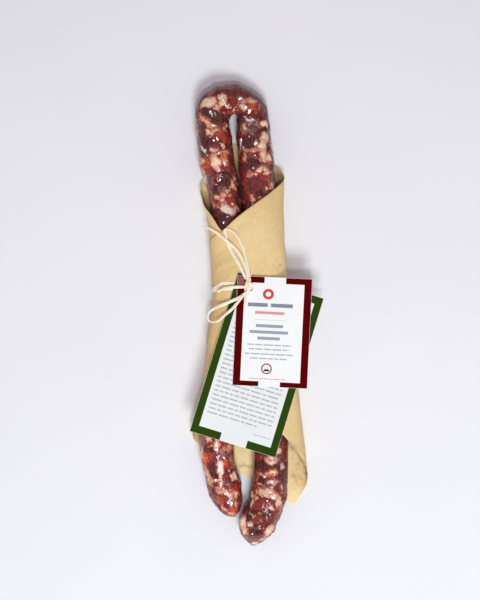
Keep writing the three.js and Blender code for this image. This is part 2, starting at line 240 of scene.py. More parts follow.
makeCamera()


# raffia: cords first

def raffiaMaterial():
    material, tree = startMaterial("raffiaStrand", 0.5)
    grain = newNode(tree, "UVMap", "UV", {}, uv_map="strandGrain")
    along = newNode(tree, "Mapping", "Vector", {"Vector": grain, "Scale": (0.12, 2.6, 1)})
    fibres = noiseNode(tree, along, 1.0, 5, 0.62)
    cloud = noiseNode(tree, objectPlace(tree), 220, 3, 0.5)
    light = rampNode(tree, fibres, (0.28, srgb(212, 182, 140)), (0.4, srgb(243, 225, 194)),
                     (0.54, srgb(255, 245, 224)), (0.74, srgb(255, 251, 238)))
    shade = rampNode(tree, cloud, (0.3, srgb(242, 227, 202)), (0.52, 1))
    setShader(tree, {"Base Color": mixColour(tree, 0.55, light, shade, "MULTIPLY"),
                     "Normal": bumpNode(tree, fibres, 0.6, 0.0005), "Sheen Weight": 0.12})
    return material


raffia = raffiaMaterial()

strand = {
    "sides": 20, "step": 0.7, "thickness": 0.6, "ridge": 0.32, "ridges": 9.4, "tiltRise": 0.6,
    # how far and how fast the width, the tilt and the ridges change along a strand, and the noise's row
    "wander": (0.1, 0.16, 0), "tilt": (0.3, 0.05, 7), "phase": (2.4, 0.04, 3),
    "grainShift": 40, "grainAcross": 0.3,
}


def drift(name, place, seed):
    amount, rate, row = strand[name]
    return amount * noise.noise(Vector((place * rate, seed, row)))


def strandSection(seed):
    # the angles round a strand, and where across the fibres each of them lies
    index = np.arange(strand["sides"])
    across = abs(index - strand["sides"] / 2) * strand["grainAcross"] + seed
    return 2 * np.pi * (index + 0.5) / strand["sides"], across


def addGrain(piece, along, across):
    # distance along and round each strand in millimetres, so that the fibres follow it
    layer = piece.data.uv_layers.new(name="strandGrain")
    corners = np.zeros(len(piece.data.loops), int)
    piece.data.loops.foreach_get("vertex_index", corners)
    layer.data.foreach_set("uv", np.column_stack([along[corners], across[corners]]).ravel())


def ribbonMesh(route, widths, thick, seed):
    # a folded flat strand swept along its route; widths are (share of the length, width) rows
    stations = evenStations(route, strand["step"])
    places, path = stations[:, 0], stations[:, 1:4]
    ahead = unit(np.gradient(path, axis=0))
    across = unit(np.cross(ahead, (0, 0, 1.0)))
    up = np.cross(across, ahead)
    angles, grain = strandSection(seed)
    points = []
    for place, middle, side, rise in zip(places, path, across, up):
        width = tableAt(widths, place / places[-1])[1] * (1 + drift("wander", place, seed))
        tilt, phase = drift("tilt", place, seed), drift("phase", place, seed)
        for angle in angles:
            s, u = math.cos(angle) * width / 2, math.sin(angle) * thick / 2
            u += strand["ridge"] * thick * math.cos(strand["ridges"] * s / width + phase)
            s, u = (s * math.cos(tilt) - u * math.sin(tilt),
                    s * math.sin(tilt) * strand["tiltRise"] + u * math.cos(tilt))
            points.append(middle + side * s + rise * u)
    along = np.repeat(places + strand["grainShift"] * seed, strand["sides"])
    return points, ringFaces(len(places), strand["sides"]), along, np.tile(grain, len(places))


def routeLength(route):
    points = catmullRom(route, np.linspace(0, len(route) - 1, 400))[:, :3]
    return float(np.linalg.norm(np.diff(points, axis=0), axis=1).sum()) * mm


freeStrands = {
    "raffia_bow_loop": {
        "farEnd": "object", "seed": 1.3, "diameter": 2.4,
        "widths": [(0, 2.1), (0.15, 2.7), (0.35, 2.7), (0.44, 1.9), (0.5, 1.4), (0.58, 1.4), (0.7, 2),
                   (0.85, 2.1), (1, 1.9)],
        "route": [
            (-8.3, 28.9, 35.3), (-11.5, 36.1, 34.7), (-13.4, 40, 34.1), (-15.7, 44, 33.6), (-18.2, 47.9, 33.1),
            (-20.2, 51.9, 32.8), (-22.1, 55.9, 32.6), (-23.3, 59.4, 32.6), (-24.2, 63.4, 32.7), (-24.9, 66.1, 32.9),
            (-24.8, 67.8, 33.1), (-23.6, 68.5, 33.2), (-21.7, 68, 33.3), (-19, 66.7, 33.2), (-16.7, 64.9, 33.2),
            (-14.4, 61.6, 33), (-12.7, 58, 32.9), (-10.4, 53.1, 32.9), (-9.1, 48.3, 33.1), (-8.1, 44, 33.5),
            (-6.9, 37.7, 34.2), (-5.5, 28.8, 35.2)]},
    "raffia_side_loop": {
        "farEnd": "object", "seed": 5.1, "diameter": 2.2,
        "widths": [(0, 2), (0.12, 2.5), (0.3, 2.6), (0.4, 1.9), (0.47, 1.4), (0.6, 1.4), (0.72, 2),
                   (0.88, 2.3), (1, 2)],
        "route": [
            (-8.7, 17.9, 35.3), (-11.5, 15.5, 35.2), (-14.6, 13.7, 35.1), (-19.4, 11.6, 34.8), (-24.9, 9.2, 34),
            (-30.1, 7, 32.6), (-34.4, 4.9, 30.8), (-37.1, 2.8, 29.6), (-38.5, 0.3, 29), (-38.8, -2.1, 28.8),
            (-37.9, -4.1, 29), (-35.6, -5.2, 29.8), (-32.4, -5.1, 31.6), (-29.7, -4, 33.4), (-26.8, -1.5, 34.5),
            (-24.1, 1, 34.6), (-21, 3.6, 34.7), (-17.8, 6.7, 35.1), (-15.4, 9.6, 35.4), (-13, 12.6, 35.8),
            (-10.7, 15.6, 36.2)]},
    "raffia_long_tail": {
        "farEnd": "bare", "seed": 9.7, "diameter": 2.5,
        "widths": [(0, 1.9), (0.3, 2.3), (0.55, 2.6), (0.7, 2.8), (0.85, 2.2), (0.95, 1.7), (1, 0.8)],
        "route": [
            (-6.5, 28.4, 36.5), (-7.7, 35.3, 36), (-9.2, 40, 35.4), (-11.2, 44.8, 34.8), (-13.7, 49, 34.3),
            (-16.8, 53, 34), (-20.6, 56.6, 33.9), (-24.5, 60, 33.8), (-28.1, 63, 33.4), (-31.6, 65.8, 32.7),
            (-36, 68.3, 31.4), (-39.6, 69.7, 29.9), (-43.1, 70.7, 28.4)]},
}


def makeFreeStrands():
    for node, fact in freeStrands.items():
        route = fact["route"]
        points, faces, along, across = ribbonMesh(route, fact["widths"], strand["thickness"], fact["seed"])
        piece = makeObject(node + "_ribbon", points, faces, [raffia])
        addGrain(piece, along, across)
        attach(piece, "root")
        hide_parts(node)
        print(node, "length", round(routeLength(route), 4))


makeFreeStrands()
print("free strands made")


# sausage

sausage = {
    # x, y, rise of the underside, radius, from each pointed end to the bend
    "leftLeg": [
        (-16.8, -161.8, 9.4, 0.8), (-18.1, -159.2, 5.8, 5.2), (-19.8, -154.8, 2.6, 8.9), (-22.2, -147.7, 0.6, 11.9),
        (-25, -138.1, 0, 13.6), (-29.4, -121.5, 0, 13.2), (-31.4, -107.7, 0, 13.9), (-31, -93.3, 0, 13.9),
        (-29, -75.7, 0, 13.9), (-24, -35.7, 0, 13.8), (-19.3, 8, 0, 13.6), (-19.3, 30, 0, 13.6),
        (-21.6, 62, 0, 13.6), (-25.7, 100.3, 0, 13.1), (-30.7, 119.5, 0, 13.9), (-33.8, 142.7, 0, 14)],
    "rightLeg": [
        (-2.4, 143.5, 0, 13.6), (-0.6, 129.9, 0, 14), (0.2, 116.3, 0, 14.2), (1.4, 103, 0, 14.2),
        (4.4, 68.3, 0, 13.8), (8.6, 30, 0, 13.6), (8.8, 8, 0, 13.6), (11, -35.7, 0, 13.8),
        (12.2, -83.7, 0, 13.9), (11.8, -110.1, 0, 13.9), (11.4, -130.1, 0, 14.2), (9.8, -144.5, 0, 14.4),
        (6.4, -155.7, 0, 14.3), (1.3, -166.1, 0.2, 15), (-1.2, -174.1, 1.2, 12.8), (-2.2, -180.1, 4.2, 7.8),
        (-2.8, -183.7, 7.6, 3), (-3.1, -184.9, 9.6, 0.8)],
    "bendCentre": (-19, 156.5), "bendRadius": 16.4, "bendThickness": (13.6, 14.6, 13.6, 12.2, 11.6, 12.6, 13),
    "paperBed": (-158, -150, 141, 152), "touchGap": 0.3, "wrapped": (-118, 112), "wrappedEase": 8,
    # gentle lumps: height, then rate along, waves round and start of each wave
    "relief": 0.45, "lumps": ((0.31, 2, 0), (0.19, -3, 1.3), (0.47, 1, 2.1)), "fullFrom": 12,
    "fineStep": 0.66, "coarseStep": 4.0, "fineBelow": -82, "fineAbove": 68, "probeStep": 0.2, "sides": 136,
    "topAbove": 12, "seed": 4,
}

wrap = {
    "thickness": 0.4, "pitch": 0.8, "fill": 28.6, "arcSteps": 24, "cells": 170, "footInset": 2,
    "top": (-19.6, 145.7), "right": (152.2, 22.7), "bottom": (30.6, -153.4), "left": (-146.5, -48),
    "crossing": (-26, 71), "crossingReach": (8.5, 13), "crossingPull": (-1.4, -3.2),
    "bluntFrom": 133, "bluntReach": 6.9, "hemRise": 0.17, "hemRiseFrom": -28, "hemRiseOver": (-105, -60),
    "liftFrom": (-48, -14), "liftTo": (104, 68),
    # y, left side x, right side x, height of each side, fullness of each side's curve
    "sides": [
        (-153.4, -56.6, 41.2, 14, 9, 2.8, 2.5), (-131.7, -56.6, 41.2, 14, 9, 2.8, 2.5),
        (-115.7, -56, 39.8, 14, 9, 2.8, 2.5), (-97.3, -52, 37.6, 14, 9.5, 2.5, 2.5),
        (-77.3, -46.8, 35.2, 14.5, 11, 2, 2.2), (-54.9, -43, 32.6, 15, 13, 2, 2),
        (-24.5, -39.2, 29.2, 15.5, 15, 2, 2), (9.1, -34.6, 26, 16, 16, 2, 2),
        (23.5, -34.6, 25, 16, 16, 2, 2), (45, -36.2, 23.4, 16, 16, 2, 2),
        (60.3, -37.4, 22.2, 16, 16, 2.4, 2), (81.1, -40.4, 21.6, 15.5, 15.5, 3.1, 2),
        (100.3, -46, 21.5, 15, 15, 3.3, 2), (145.7, -47.4, 22.8, 15, 15, 3.3, 2)],
}


def wrapLevels(y):
    lift = smoothStep(*wrap["liftFrom"], y) * smoothStep(*wrap["liftTo"], y)
    back = wrap["thickness"] / 2 + 2 * wrap["pitch"] * lift
    under = wrap["thickness"] / 2 + wrap["pitch"] * lift
    inner = back + wrap["thickness"] + wrap["fill"]
    return back, under, inner, inner + wrap["pitch"]


def sausageRoute():
    bend = []
    thickness = sausage["bendThickness"]
    for i, radius in enumerate(thickness):
        angle = math.pi * (1 - i / (len(thickness) - 1))
        x = sausage["bendCentre"][0] + sausage["bendRadius"] * math.cos(angle)
        bend.append((x, sausage["bendCentre"][1] + sausage["bendRadius"] * math.sin(angle), 0, radius))
    return sausage["leftLeg"] + bend + sausage["rightLeg"]


def sausageBed(y):
    bed = sausage["paperBed"]
    share = smoothStep(bed[0], bed[1], y) * smoothStep(bed[3], bed[2], y)
    return share * (wrapLevels(y)[0] + wrap["thickness"] / 2 + sausage["touchGap"])


# pieces of the filling that show on top, each painted over the ones before; the whitish and mauve ones that sit where
# the casing shines are partly painted highlights:
# x, y, half size across, half size along, turn in degrees, kind
fillingPieces = [
    # the bend, left to right
    (-19.5, 179.5, 11, 4.4, 0, "lean"), (-22.7, 183, 6, 1.4, 0, "rust"), (-35.4, 179, 5.4, 2.6, 50, "brown"),
    (-36.5, 176.5, 3, 1.2, 45, "rust"), (-8.8, 179.6, 8.4, 1.7, -17, "grey"), (1.3, 174.8, 5.4, 1.7, -42, "grey"),
    (5.2, 166.2, 2.2, 6.4, 20, "grey"), (8.2, 158.8, 1.8, 4.2, 12, "grey"), (-14.5, 175, 5, 3, -10, "lean"),
    (-38.4, 169.4, 6.6, 4.4, 15, "fat"), (-26.9, 173.7, 3.8, 2.8, 10, "fat"), (-27.2, 168.9, 3, 2.6, 0, "fat"),
    (-31.2, 165.2, 2.8, 2.4, -20, "peach"), (-13.1, 172.3, 2.2, 1.1, 30, "pale"),
    (-8.8, 171.5, 2.6, 2.4, 0, "salmon"), (-3, 171, 3.6, 2.8, 0, "peach"), (-3.5, 166.2, 3.4, 2.8, 0, "orange"),
    (-9, 165.8, 1.8, 0.8, 20, "pale"), (-18.5, 169.5, 5, 3.2, 0, "deep"), (-23.7, 163.6, 4.8, 2.4, 0, "deep"),
    (-19.5, 161.8, 4.6, 1.8, 0, "rust"), (-17.9, 164.1, 1.5, 1.9, 10, "peach"), (-41.3, 163, 4.2, 3.4, -20, "dark"),
    (-33.8, 158.3, 9, 4.2, -35, "dark"), (-39.7, 154, 8.6, 1.9, -44, "peach"),
    (-34.6, 151, 2.6, 1.4, -20, "fat"), (-45.3, 148.1, 2.6, 5.6, 20, "dark"), (-47.4, 147, 0.8, 8, 0, "salmon"),
    (-38.6, 146.2, 1.8, 2.4, 0, "fat"), (-29.1, 145.5, 5.6, 3.2, -10, "rust"), (-31.5, 147.6, 2.4, 1, 20, "peach"),
    (-24.8, 141.2, 3.2, 4.6, 15, "red"), (-39.2, 137.5, 7, 4.6, 0, "dark"), (-31, 135.6, 4, 3, 0, "lean"),
    (-26.4, 134.8, 1.2, 2.6, 40, "peach"), (-42.6, 131.7, 0.8, 3.6, 35, "pale"), (-11, 157.7, 3, 4.4, 0, "dark"),
    (-6, 161, 4.4, 2.2, 0, "deep"), (-3, 154, 6.4, 3.4, -15, "mauve"), (-5.6, 155.8, 3.2, 0.8, -30, "pale"),
    (6.6, 151.9, 3.4, 2.8, -10, "fat"), (-11, 148.7, 2.6, 5, 0, "brown"), (-9.6, 149.6, 1.2, 2.4, 20, "peach"),
    (-2, 146.6, 6, 3.6, -15, "mauve"), (3.4, 147, 2, 5.6, -50, "dark"), (-6.2, 138.4, 6.6, 5.4, 0, "dark"),
    (6.8, 141.8, 3.6, 4.6, -25, "fat"), (4.5, 135, 3, 5.2, -10, "fat"), (11.6, 137.5, 1.2, 5, 0, "rust"),
    (10.3, 133.3, 2, 2.6, 0, "dark"), (-12.6, 139.6, 0.9, 1.6, 0, "pale"), (-12.6, 135.9, 0.6, 1.7, 0, "pale"),
    (-0.3, 136.4, 1.2, 2.3, -20, "pale"), (-12.2, 143.2, 1.8, 3, 0, "deep"),
    # the left leg down to the paper
    (-33.6, 127.2, 4.6, 1.6, 25, "peach"), (-25.5, 129.6, 4.6, 2.2, 0, "salmon"),
    (-25.5, 127.2, 3, 2.2, 0, "orange"), (-24.9, 127.6, 1, 1, 0, "amber"), (-32.2, 121.6, 4.2, 5.8, 15, "fat"),
    (-30.2, 116.4, 2.2, 3, 10, "fat"), (-24.4, 121.5, 2.8, 2.4, -10, "fat"),
    (-22.2, 120.4, 1.6, 1.8, -30, "orange"), (-40, 120.4, 2.8, 3.8, 0, "orange"),
    (-42.8, 123.4, 1.6, 2.2, 0, "peach"), (-43.3, 114.8, 1.8, 3.8, 20, "peach"), (-37.6, 114.2, 3, 3, 0, "red"),
    (-23.3, 115.6, 4.4, 3.4, 0, "lean"), (-25.5, 108.7, 7.8, 6, 0, "dark"), (-37.2, 106.4, 3.6, 5.6, 10, "grey"),
    (-31, 110.4, 2.6, 2.6, 0, "lean"), (-18.3, 103.6, 1.6, 4.6, 20, "peach"),
    (-16.8, 108.8, 1.2, 3.4, 15, "salmon"), (-22.2, 99.7, 2.8, 1, 35, "peach"),
    (-27, 99.4, 3.6, 2.4, 20, "mauve"), (-31.1, 94.2, 2.8, 1.6, -30, "fat"), (-27.7, 91.9, 2.4, 1.6, 10, "fat"),
    (-21.1, 92.5, 3.6, 3.6, 0, "red"), (-20.4, 95.6, 2.4, 1, 10, "salmon"), (-31.1, 88.6, 2.4, 1.3, 10, "orange"),
    (-23.3, 83.6, 6.2, 4, -35, "pale"), (-17.7, 97.5, 2, 4, 15, "deep"), (-15.5, 91.4, 2, 3.8, 15, "dark"),
    (-16.1, 86.4, 0.8, 3.8, 40, "salmon"), (-36.4, 92.5, 1.6, 4.4, 10, "mauve"), (-26.6, 75.8, 7.4, 6.4, 0, "dark"),
    (-34.4, 84.1, 3.4, 5, 10, "dark"), (-33.8, 88, 0.9, 2.6, 0, "salmon"),
    # the right leg down to the paper
    (-2.7, 127, 6.4, 5.4, 0, "lean"), (-3.8, 120.9, 6.8, 4.2, 0, "dark"), (-4.4, 131.3, 8, 1.5, 5, "salmon"),
    (-12.2, 125.4, 2, 5.4, 0, "deep"), (-9.1, 125.4, 1.5, 3.4, 0, "peach"), (6.2, 127, 2.9, 5.6, 15, "fat"),
    (10.1, 125.4, 2.2, 2.8, 0, "fat"), (11.2, 122.2, 1.8, 1.6, 0, "orange"), (7.3, 119.2, 4.6, 2.2, -5, "mauve"),
    (3.4, 115.9, 2.8, 2.1, 20, "fat"), (9, 113.7, 3.8, 1.4, 12, "fat"), (5.4, 114.2, 1.6, 0.8, 10, "deep"),
    (-5.5, 112, 2.6, 2.8, 0, "salmon"), (-0.5, 111.6, 1.7, 1.9, 0, "fat"), (-11.6, 113.1, 2.4, 4.4, 0, "deep"),
    (5.7, 109.8, 6.4, 1.8, 5, "red"), (-10, 106.4, 3.4, 3.6, 0, "red"), (0.1, 102.5, 9.4, 6.3, 0, "lean"),
    (13.2, 107, 1.7, 4.4, 10, "mauve"), (13.6, 101.8, 1.2, 3, 10, "peach"), (8.5, 100.9, 1.3, 1.6, 20, "fat"),
    (-7.7, 99.2, 1.4, 3.8, 10, "red"), (-6.6, 93, 2, 3.2, 0, "deep"), (-3.2, 93.1, 1.7, 2.7, 25, "peach"),
    (1.6, 97.2, 4.4, 2, 0, "dark"),
    # the left end
    (-41.6, -99.2, 2.8, 5.2, 0, "mauve"), (-38.4, -98.6, 2.6, 2.6, 0, "peach"), (-37.8, -100.6, 1.3, 1.4, 0, "red"),
    (-36.8, -103.2, 1.6, 0.9, 0, "amber"), (-31.5, -102.9, 2.6, 5.8, -8, "salmon"),
    (-25.1, -100.8, 4.4, 3.4, 0, "red"), (-20.8, -104.5, 2.4, 4.8, -8, "salmon"), (-36.8, -111.4, 3.8, 3.2, 0, "red"),
    (-40, -114, 2.4, 5.2, 8, "orange"), (-35.7, -119.9, 4.2, 4.4, 0, "dark"),
    (-27.2, -109.6, 4.8, 3.4, -40, "mauve"), (-18.7, -116.7, 2.6, 6.4, 10, "brown"),
    (-28.5, -121, 2.9, 6.2, 5, "pale"), (-28.5, -128.9, 1, 4.4, 0, "fat"), (-27.7, -133.9, 0.9, 3.4, 10, "fat"),
    (-43.4, -110.3, 1.1, 5.4, 0, "peach"), (-38.6, -128.4, 1.9, 7.6, 20, "peach"),
    (-24, -123.6, 1.5, 3.6, 15, "deep"), (-25.1, -129.5, 2.6, 3, 0, "deep"),
    (-17.6, -128.4, 3.8, 3.4, -20, "fat"), (-21.4, -133.7, 2.6, 1.8, 0, "grey"),
    (-14.4, -136.4, 3.4, 5.2, 10, "deep"), (-13, -142.5, 2, 4, 0, "dark"), (-19.2, -138.6, 2.6, 2.2, 0, "rust"),
    (-16.2, -143, 1.4, 4.2, -5, "peach"), (-29.9, -139.2, 3.6, 2.6, -20, "salmon"),
    (-25.2, -138.4, 2.8, 1.3, -40, "fat"), (-22.4, -142.2, 4.8, 1.6, -35, "pale"),
    (-24, -149.2, 3.2, 4.8, 25, "deep"), (-20.6, -148.3, 1.2, 4.6, 5, "pale"),
    (-30.2, -147, 2.2, 5, 38, "rust"), (-33.6, -144.4, 1.1, 6.2, 32, "mauve"),
    (-18.7, -155.5, 5, 2.8, 15, "rust"), (-16, -150.7, 1.6, 2.5, 0, "peach"),
    (-25.8, -154.5, 2.8, 1.5, -40, "peach"), (-19.4, -158.6, 3.4, 1.6, 0, "salmon"),
    # the right end
    (1.3, -113.4, 3.2, 3.2, 0, "red"), (4.5, -118.7, 5.6, 3.4, 0, "dark"), (9.8, -114.2, 4.2, 1.2, -15, "salmon"),
    (16.4, -113, 3, 3.6, 0, "mauve"), (20.5, -120.3, 1.8, 2.8, 0, "pale"), (15.8, -119.4, 3.2, 2.8, 0, "dark"),
    (21.5, -128.3, 3, 6.4, 0, "dark"), (12, -125.3, 5, 2.6, 10, "peach"), (10.9, -126.4, 2, 1.7, 0, "orange"),
    (12, -129, 1.6, 2.2, 0, "rust"), (5, -126.7, 3.4, 1.1, -20, "peach"), (-0.3, -128.8, 2.6, 3.6, 0, "rust"),
    (5, -131.5, 4.6, 2.2, 0, "dark"), (12.5, -132.8, 3.4, 1.3, -10, "pale"), (2.4, -133.9, 1.6, 1, 10, "peach"),
    (8.2, -136.4, 6.8, 1.9, -5, "mauve"), (21.5, -140.5, 2.6, 4.6, 0, "red"), (20.8, -138, 0.8, 2.8, 5, "peach"),
    (4.5, -150.1, 6.6, 5.2, 0, "red"), (7.6, -146.4, 4, 1.4, -15, "deep"), (7.4, -140.9, 8, 3.1, -8, "fat"),
    (14.6, -143.8, 4.2, 3, -35, "fat"), (18.5, -148.6, 3, 5.6, 6, "fat"), (18.9, -153.8, 2.2, 2, 0, "orange"),
    (12.6, -147.2, 1.8, 1.4, 0, "mauve"), (0, -156.5, 6.2, 2.6, 0, "dark"), (-6.1, -161.3, 3.4, 3, 0, "dark"),
    (2.9, -157.8, 1.1, 1, 0, "amber"), (1.9, -162.3, 4.4, 3.2, 0, "red"), (12.5, -160.2, 4.8, 4.8, 0, "lean"),
    (-10.6, -166, 3, 7.6, 10, "fat"), (-5.1, -165.5, 2.2, 1.8, 20, "pale"),
    (16.7, -163.4, 1.7, 5.6, -25, "mauve"), (-0.8, -173.5, 6.4, 4.8, 0, "dark"), (10.7, -171.4, 2.8, 5.4, -30, "fat"),
    (5.6, -178.6, 3.2, 1.8, 20, "peach"), (-2.4, -179.4, 2.8, 2.2, 0, "rust"), (-7, -177.6, 2, 3.8, 40, "brown"),
    (-9.6, -171.6, 1.8, 3.2, 20, "fat"),
]

meatKinds = {
    # colour as seen on screen, share among the pieces that are placed by chance, typical half size
    "lean": ((120, 42, 41), 0.28, 5.8), "dark": ((80, 24, 27), 0.25, 5.8), "red": ((150, 46, 40), 0.12, 4.4),
    # besides real fat and casing film, the palest fat and the mauve film also serve as painted highlights on the casing
    "deep": ((134, 14, 13), 0.07, 3.8), "mauve": ((146, 100, 99), 0.05, 3.8), "grey": ((112, 93, 91), 0.01, 3.2),
    "brown": ((150, 98, 72), 0.02, 3), "rust": ((170, 70, 48), 0.045, 2.8), "salmon": ((206, 140, 116), 0.045, 2.6),
    "orange": ((204, 84, 44), 0.01, 2.2), "amber": ((240, 160, 62), 0.002, 1), "peach": ((236, 192, 158), 0.05, 2.8),
    "fat": ((242, 212, 184), 0.085, 4), "pale": ((238, 224, 212), 0.03, 3),
}
fatKinds = ("fat", "pale", "peach")
filling = {
    "byChance": 1150, "specks": 450, "chanceSize": (0.6, 1.2), "chanceWide": (0.6, 1.1), "chanceLong": (0.8, 1.4),
    "chanceTurn": 60, "speckSize": (0.5, 1.3), "placedDepth": 1.3, "toneRange": (0.84, 1.14), "fatTone": 0.35,
    "speckKinds": ("peach", "fat", "pale", "salmon", "rust", "dark", "dark", "deep"),
    # scale and reach of the noise that bends every border
    "wobble": ((0.24, 1.3), (0.8, 0.55)), "raggedScales": (0.75, 1.9), "raggedStarts": (3, 31),
    "soft": 0.5, "ragged": 1.0, "baseScale": 0.3, "farBorder": 3.0,
    # grey and mauve are a film of casing, through which the filling still shows; where the casing shines, the mauve
    # film is partly a painted highlight
    "filmKinds": ("grey", "mauve"), "filmShare": 0.62, "filmEdge": (-1.1, 0.9),
    # fat darkens to its rim and stains the lean round it
    "rimmedFrom": 1.2, "rimShare": 0.45, "rimEdge": (-1.8, 0.1), "rimTone": 1.5,
    "fringe": 1.2, "fringeShare": 0.7, "fringeColour": (166, 56, 38),
}


def chunkList(rings):
    # ellipsoids just under the casing: by chance all round, small specks, then the placed ones on top
    draw = random.Random(sausage["seed"])
    flat = rings.reshape(-1, 3)
    names = list(meatKinds)
    weights = [meatKinds[name][1] for name in names]
    chunks = []
    for i in range(filling["byChance"] + filling["specks"]):
        point = flat[draw.randrange(len(flat))]
        if i < filling["byChance"]:
            kind = draw.choices(names, weights)[0]
            size = meatKinds[kind][2] * draw.uniform(*filling["chanceSize"])
        else:
            kind = draw.choice(filling["speckKinds"])
            size = draw.uniform(*filling["speckSize"])
        turn = math.radians(draw.uniform(-filling["chanceTurn"], filling["chanceTurn"]))
        wide, long = size * draw.uniform(*filling["chanceWide"]), size * draw.uniform(*filling["chanceLong"])
        chunks.append((*point, wide, long, size, turn, kind))
    top = flat[flat[:, 2] > sausage["topAbove"]]
    for x, y, wide, long, turn, kind in fillingPieces:
        nearest = top[np.argmin(np.hypot(top[:, 0] - x, top[:, 1] - y))]
        deep = filling["placedDepth"] * max(wide, long) + 1
        chunks.append((x, y, nearest[2], wide, long, deep, math.radians(turn), kind))
    return chunks


def fieldOf(points, scale, start):
    return np.array([noise.noise(Vector(p) * scale + Vector((start, 0, 0))) for p in points])


# the filling is a little paler in some stretches than in others
stretchTones = {
    "endsBelow": -90, "endsSplit": -8, "leftEnd": 1.18, "rightEnd": 0.83,
    "bendAbove": 158, "bend": 0.82, "legsSplit": -12, "rightLeg": 0.91, "leftLeg": 1.0,
}


def placeTone(x, y):
    if y < stretchTones["endsBelow"]:
        return stretchTones["leftEnd" if x < stretchTones["endsSplit"] else "rightEnd"]
    if y > stretchTones["bendAbove"]:
        return stretchTones["bend"]
    return stretchTones["rightLeg" if x > stretchTones["legsSplit"] else "leftLeg"]


def layOver(below, above, share):
    return below * (1 - share) + above * share


def paintFilling(points, chunks):
    # colour, share of fat and distance to the nearest border for each point
    draw = random.Random(sausage["seed"] + 1)
    (slow, far), (quick, short) = filling["wobble"]
    warped = points + np.array([noise.noise_vector(Vector(p) * slow) * far
                                + noise.noise_vector(Vector(p) * quick) * short for p in points])
    coarse, fine = filling["raggedScales"]
    raggedness = [fieldOf(points, coarse, start) + 0.6 * fieldOf(points, fine, start)
                  for start in filling["raggedStarts"]]
    base = fieldOf(points, filling["baseScale"], 9.0)[:, None]
    tones = {name: np.array(srgb(*value[0])) for name, value in meatKinds.items()}
    colours = tones["lean"] * (0.5 + base) + tones["dark"] * (0.5 - base)
    fatness = np.zeros(len(points))
    border = np.full(len(points), filling["farBorder"])
    fringeTone = np.array(srgb(*filling["fringeColour"]))
    for index, (x, y, z, wide, long, deep, turn, kind) in enumerate(chunks):
        reach = 1.4 * max(wide, long) + 2
        near = np.flatnonzero((abs(points[:, 0] - x) < reach) & (abs(points[:, 1] - y) < reach)
                              & (abs(points[:, 2] - z) < reach + 8))
        if not len(near):
            continue
        offset = warped[near] - (x, y, z)
        u, v = turned(offset[:, 0], offset[:, 1], turn)
        distance = np.sqrt((u / wide) ** 2 + (v / long) ** 2 + (offset[:, 2] / deep) ** 2)
        gap = (distance - 1) * min(wide, long) + filling["ragged"] * raggedness[index % 2][near]
        if kind in filling["filmKinds"]:
            cover = filling["filmShare"] * (1 - smoothStep(*filling["filmEdge"], gap))
        else:
            cover = 1 - smoothStep(-filling["soft"], filling["soft"], gap)
        isFat = kind in fatKinds
        # fat varies less than lean from stretch to stretch
        tone = tones[kind] * draw.uniform(*filling["toneRange"])
        tone = tone * placeTone(x, y) ** (filling["fatTone"] if isFat else 1)
        if isFat and min(wide, long) > filling["rimmedFrom"]:
            rim = smoothStep(*filling["rimEdge"], gap)[:, None]
            tone = layOver(tone, fringeTone * filling["rimTone"], filling["rimShare"] * rim)
            halo = (filling["fringeShare"] * (1 - smoothStep(0, filling["fringe"], gap)))[:, None]
            colours[near] = layOver(colours[near], fringeTone, halo)
        colours[near] = layOver(colours[near], tone, cover[:, None])
        fatness[near] = layOver(fatness[near], float(isFat), cover)
        border[near] = np.where(cover > 0.5, -gap, np.minimum(border[near], np.maximum(gap, 0)))
    return np.clip(colours, 0, 1), fatness, np.clip(border, 0, filling["farBorder"])


def meatMaterial():
    material, tree = startMaterial("curedMeat", 0.36)
    paint = attributeNode(tree, "filling", "Color")
    mottle = noiseNode(tree, objectPlace(tree), 330, 4, 0.62, 0.4)
    grain = noiseNode(tree, objectPlace(tree), 1150, 4, 0.7)
    veins = noiseNode(tree, objectPlace(tree, (1, 0.6, 1)), 620, 4, 0.65, 1.6)
    # lean is mottled and grainy, fat much less so
    tone = rampNode(tree, mottle, (0.32, (0.46, 0.38, 0.4)), (0.5, 1), (0.68, (1.62, 1.56, 1.5)))
    fine = rampNode(tree, grain, (0.36, (0.7, 0.62, 0.64)), (0.52, 1), (0.7, (1.3, 1.3, 1.26)))
    lean = mixColour(tree, 0.85, paint, tone, "MULTIPLY")
    lean = mixColour(tree, 0.8, lean, fine, "MULTIPLY")
    lean = mixColour(tree, rampNode(tree, veins, (0.56, 0), (0.68, 0.42)), lean, srgb(190, 132, 114))
    fatTone = rampNode(tree, mottle, (0.32, srgb(232, 178, 138)), (0.5, 1), (0.7, (1.08, 1.1, 1.12)))
    fatty = mixColour(tree, 0.7, paint, fatTone, "MULTIPLY")
    fatty = mixColour(tree, rampNode(tree, veins, (0.55, 0), (0.72, 0.5)), fatty, srgb(206, 134, 96))
    film = noiseNode(tree, objectPlace(tree, (1, 0.4, 1), (0, 0, 0.5)), 210, 6, 0.72, 2.2)
    filmShare = rampNode(tree, film, (0.47, 0), (0.5, 0.12), (0.53, 0), (0.66, 0), (0.8, 0.16))
    inside = mixColour(tree, attributeNode(tree, "fatness"), lean, fatty)
    wrinkle = noiseNode(tree, objectPlace(tree, (1, 0.55, 1), (0, 0, 0.5)), 330, 2.5, 0.45, 0.9)
    dimple = noiseNode(tree, objectPlace(tree), 1500, 3, 0.6)
    setShader(tree, {
        "Base Color": mixColour(tree, filmShare, inside, srgb(206, 176, 168)),
        "Normal": bumpNode(tree, dimple, 0.12, 0.0004, bumpNode(tree, wrinkle, 0.9, 0.0014)),
        "Roughness": rampNode(tree, mottle, (0.3, 0.16), (0.7, 0.4)), "Specular IOR Level": 0.06,
        "Coat Weight": 0.8, "Coat IOR": 1.38, "Coat Roughness": 0.05, "Sheen Weight": 0.04, "Sheen Roughness": 0.3})
    return material


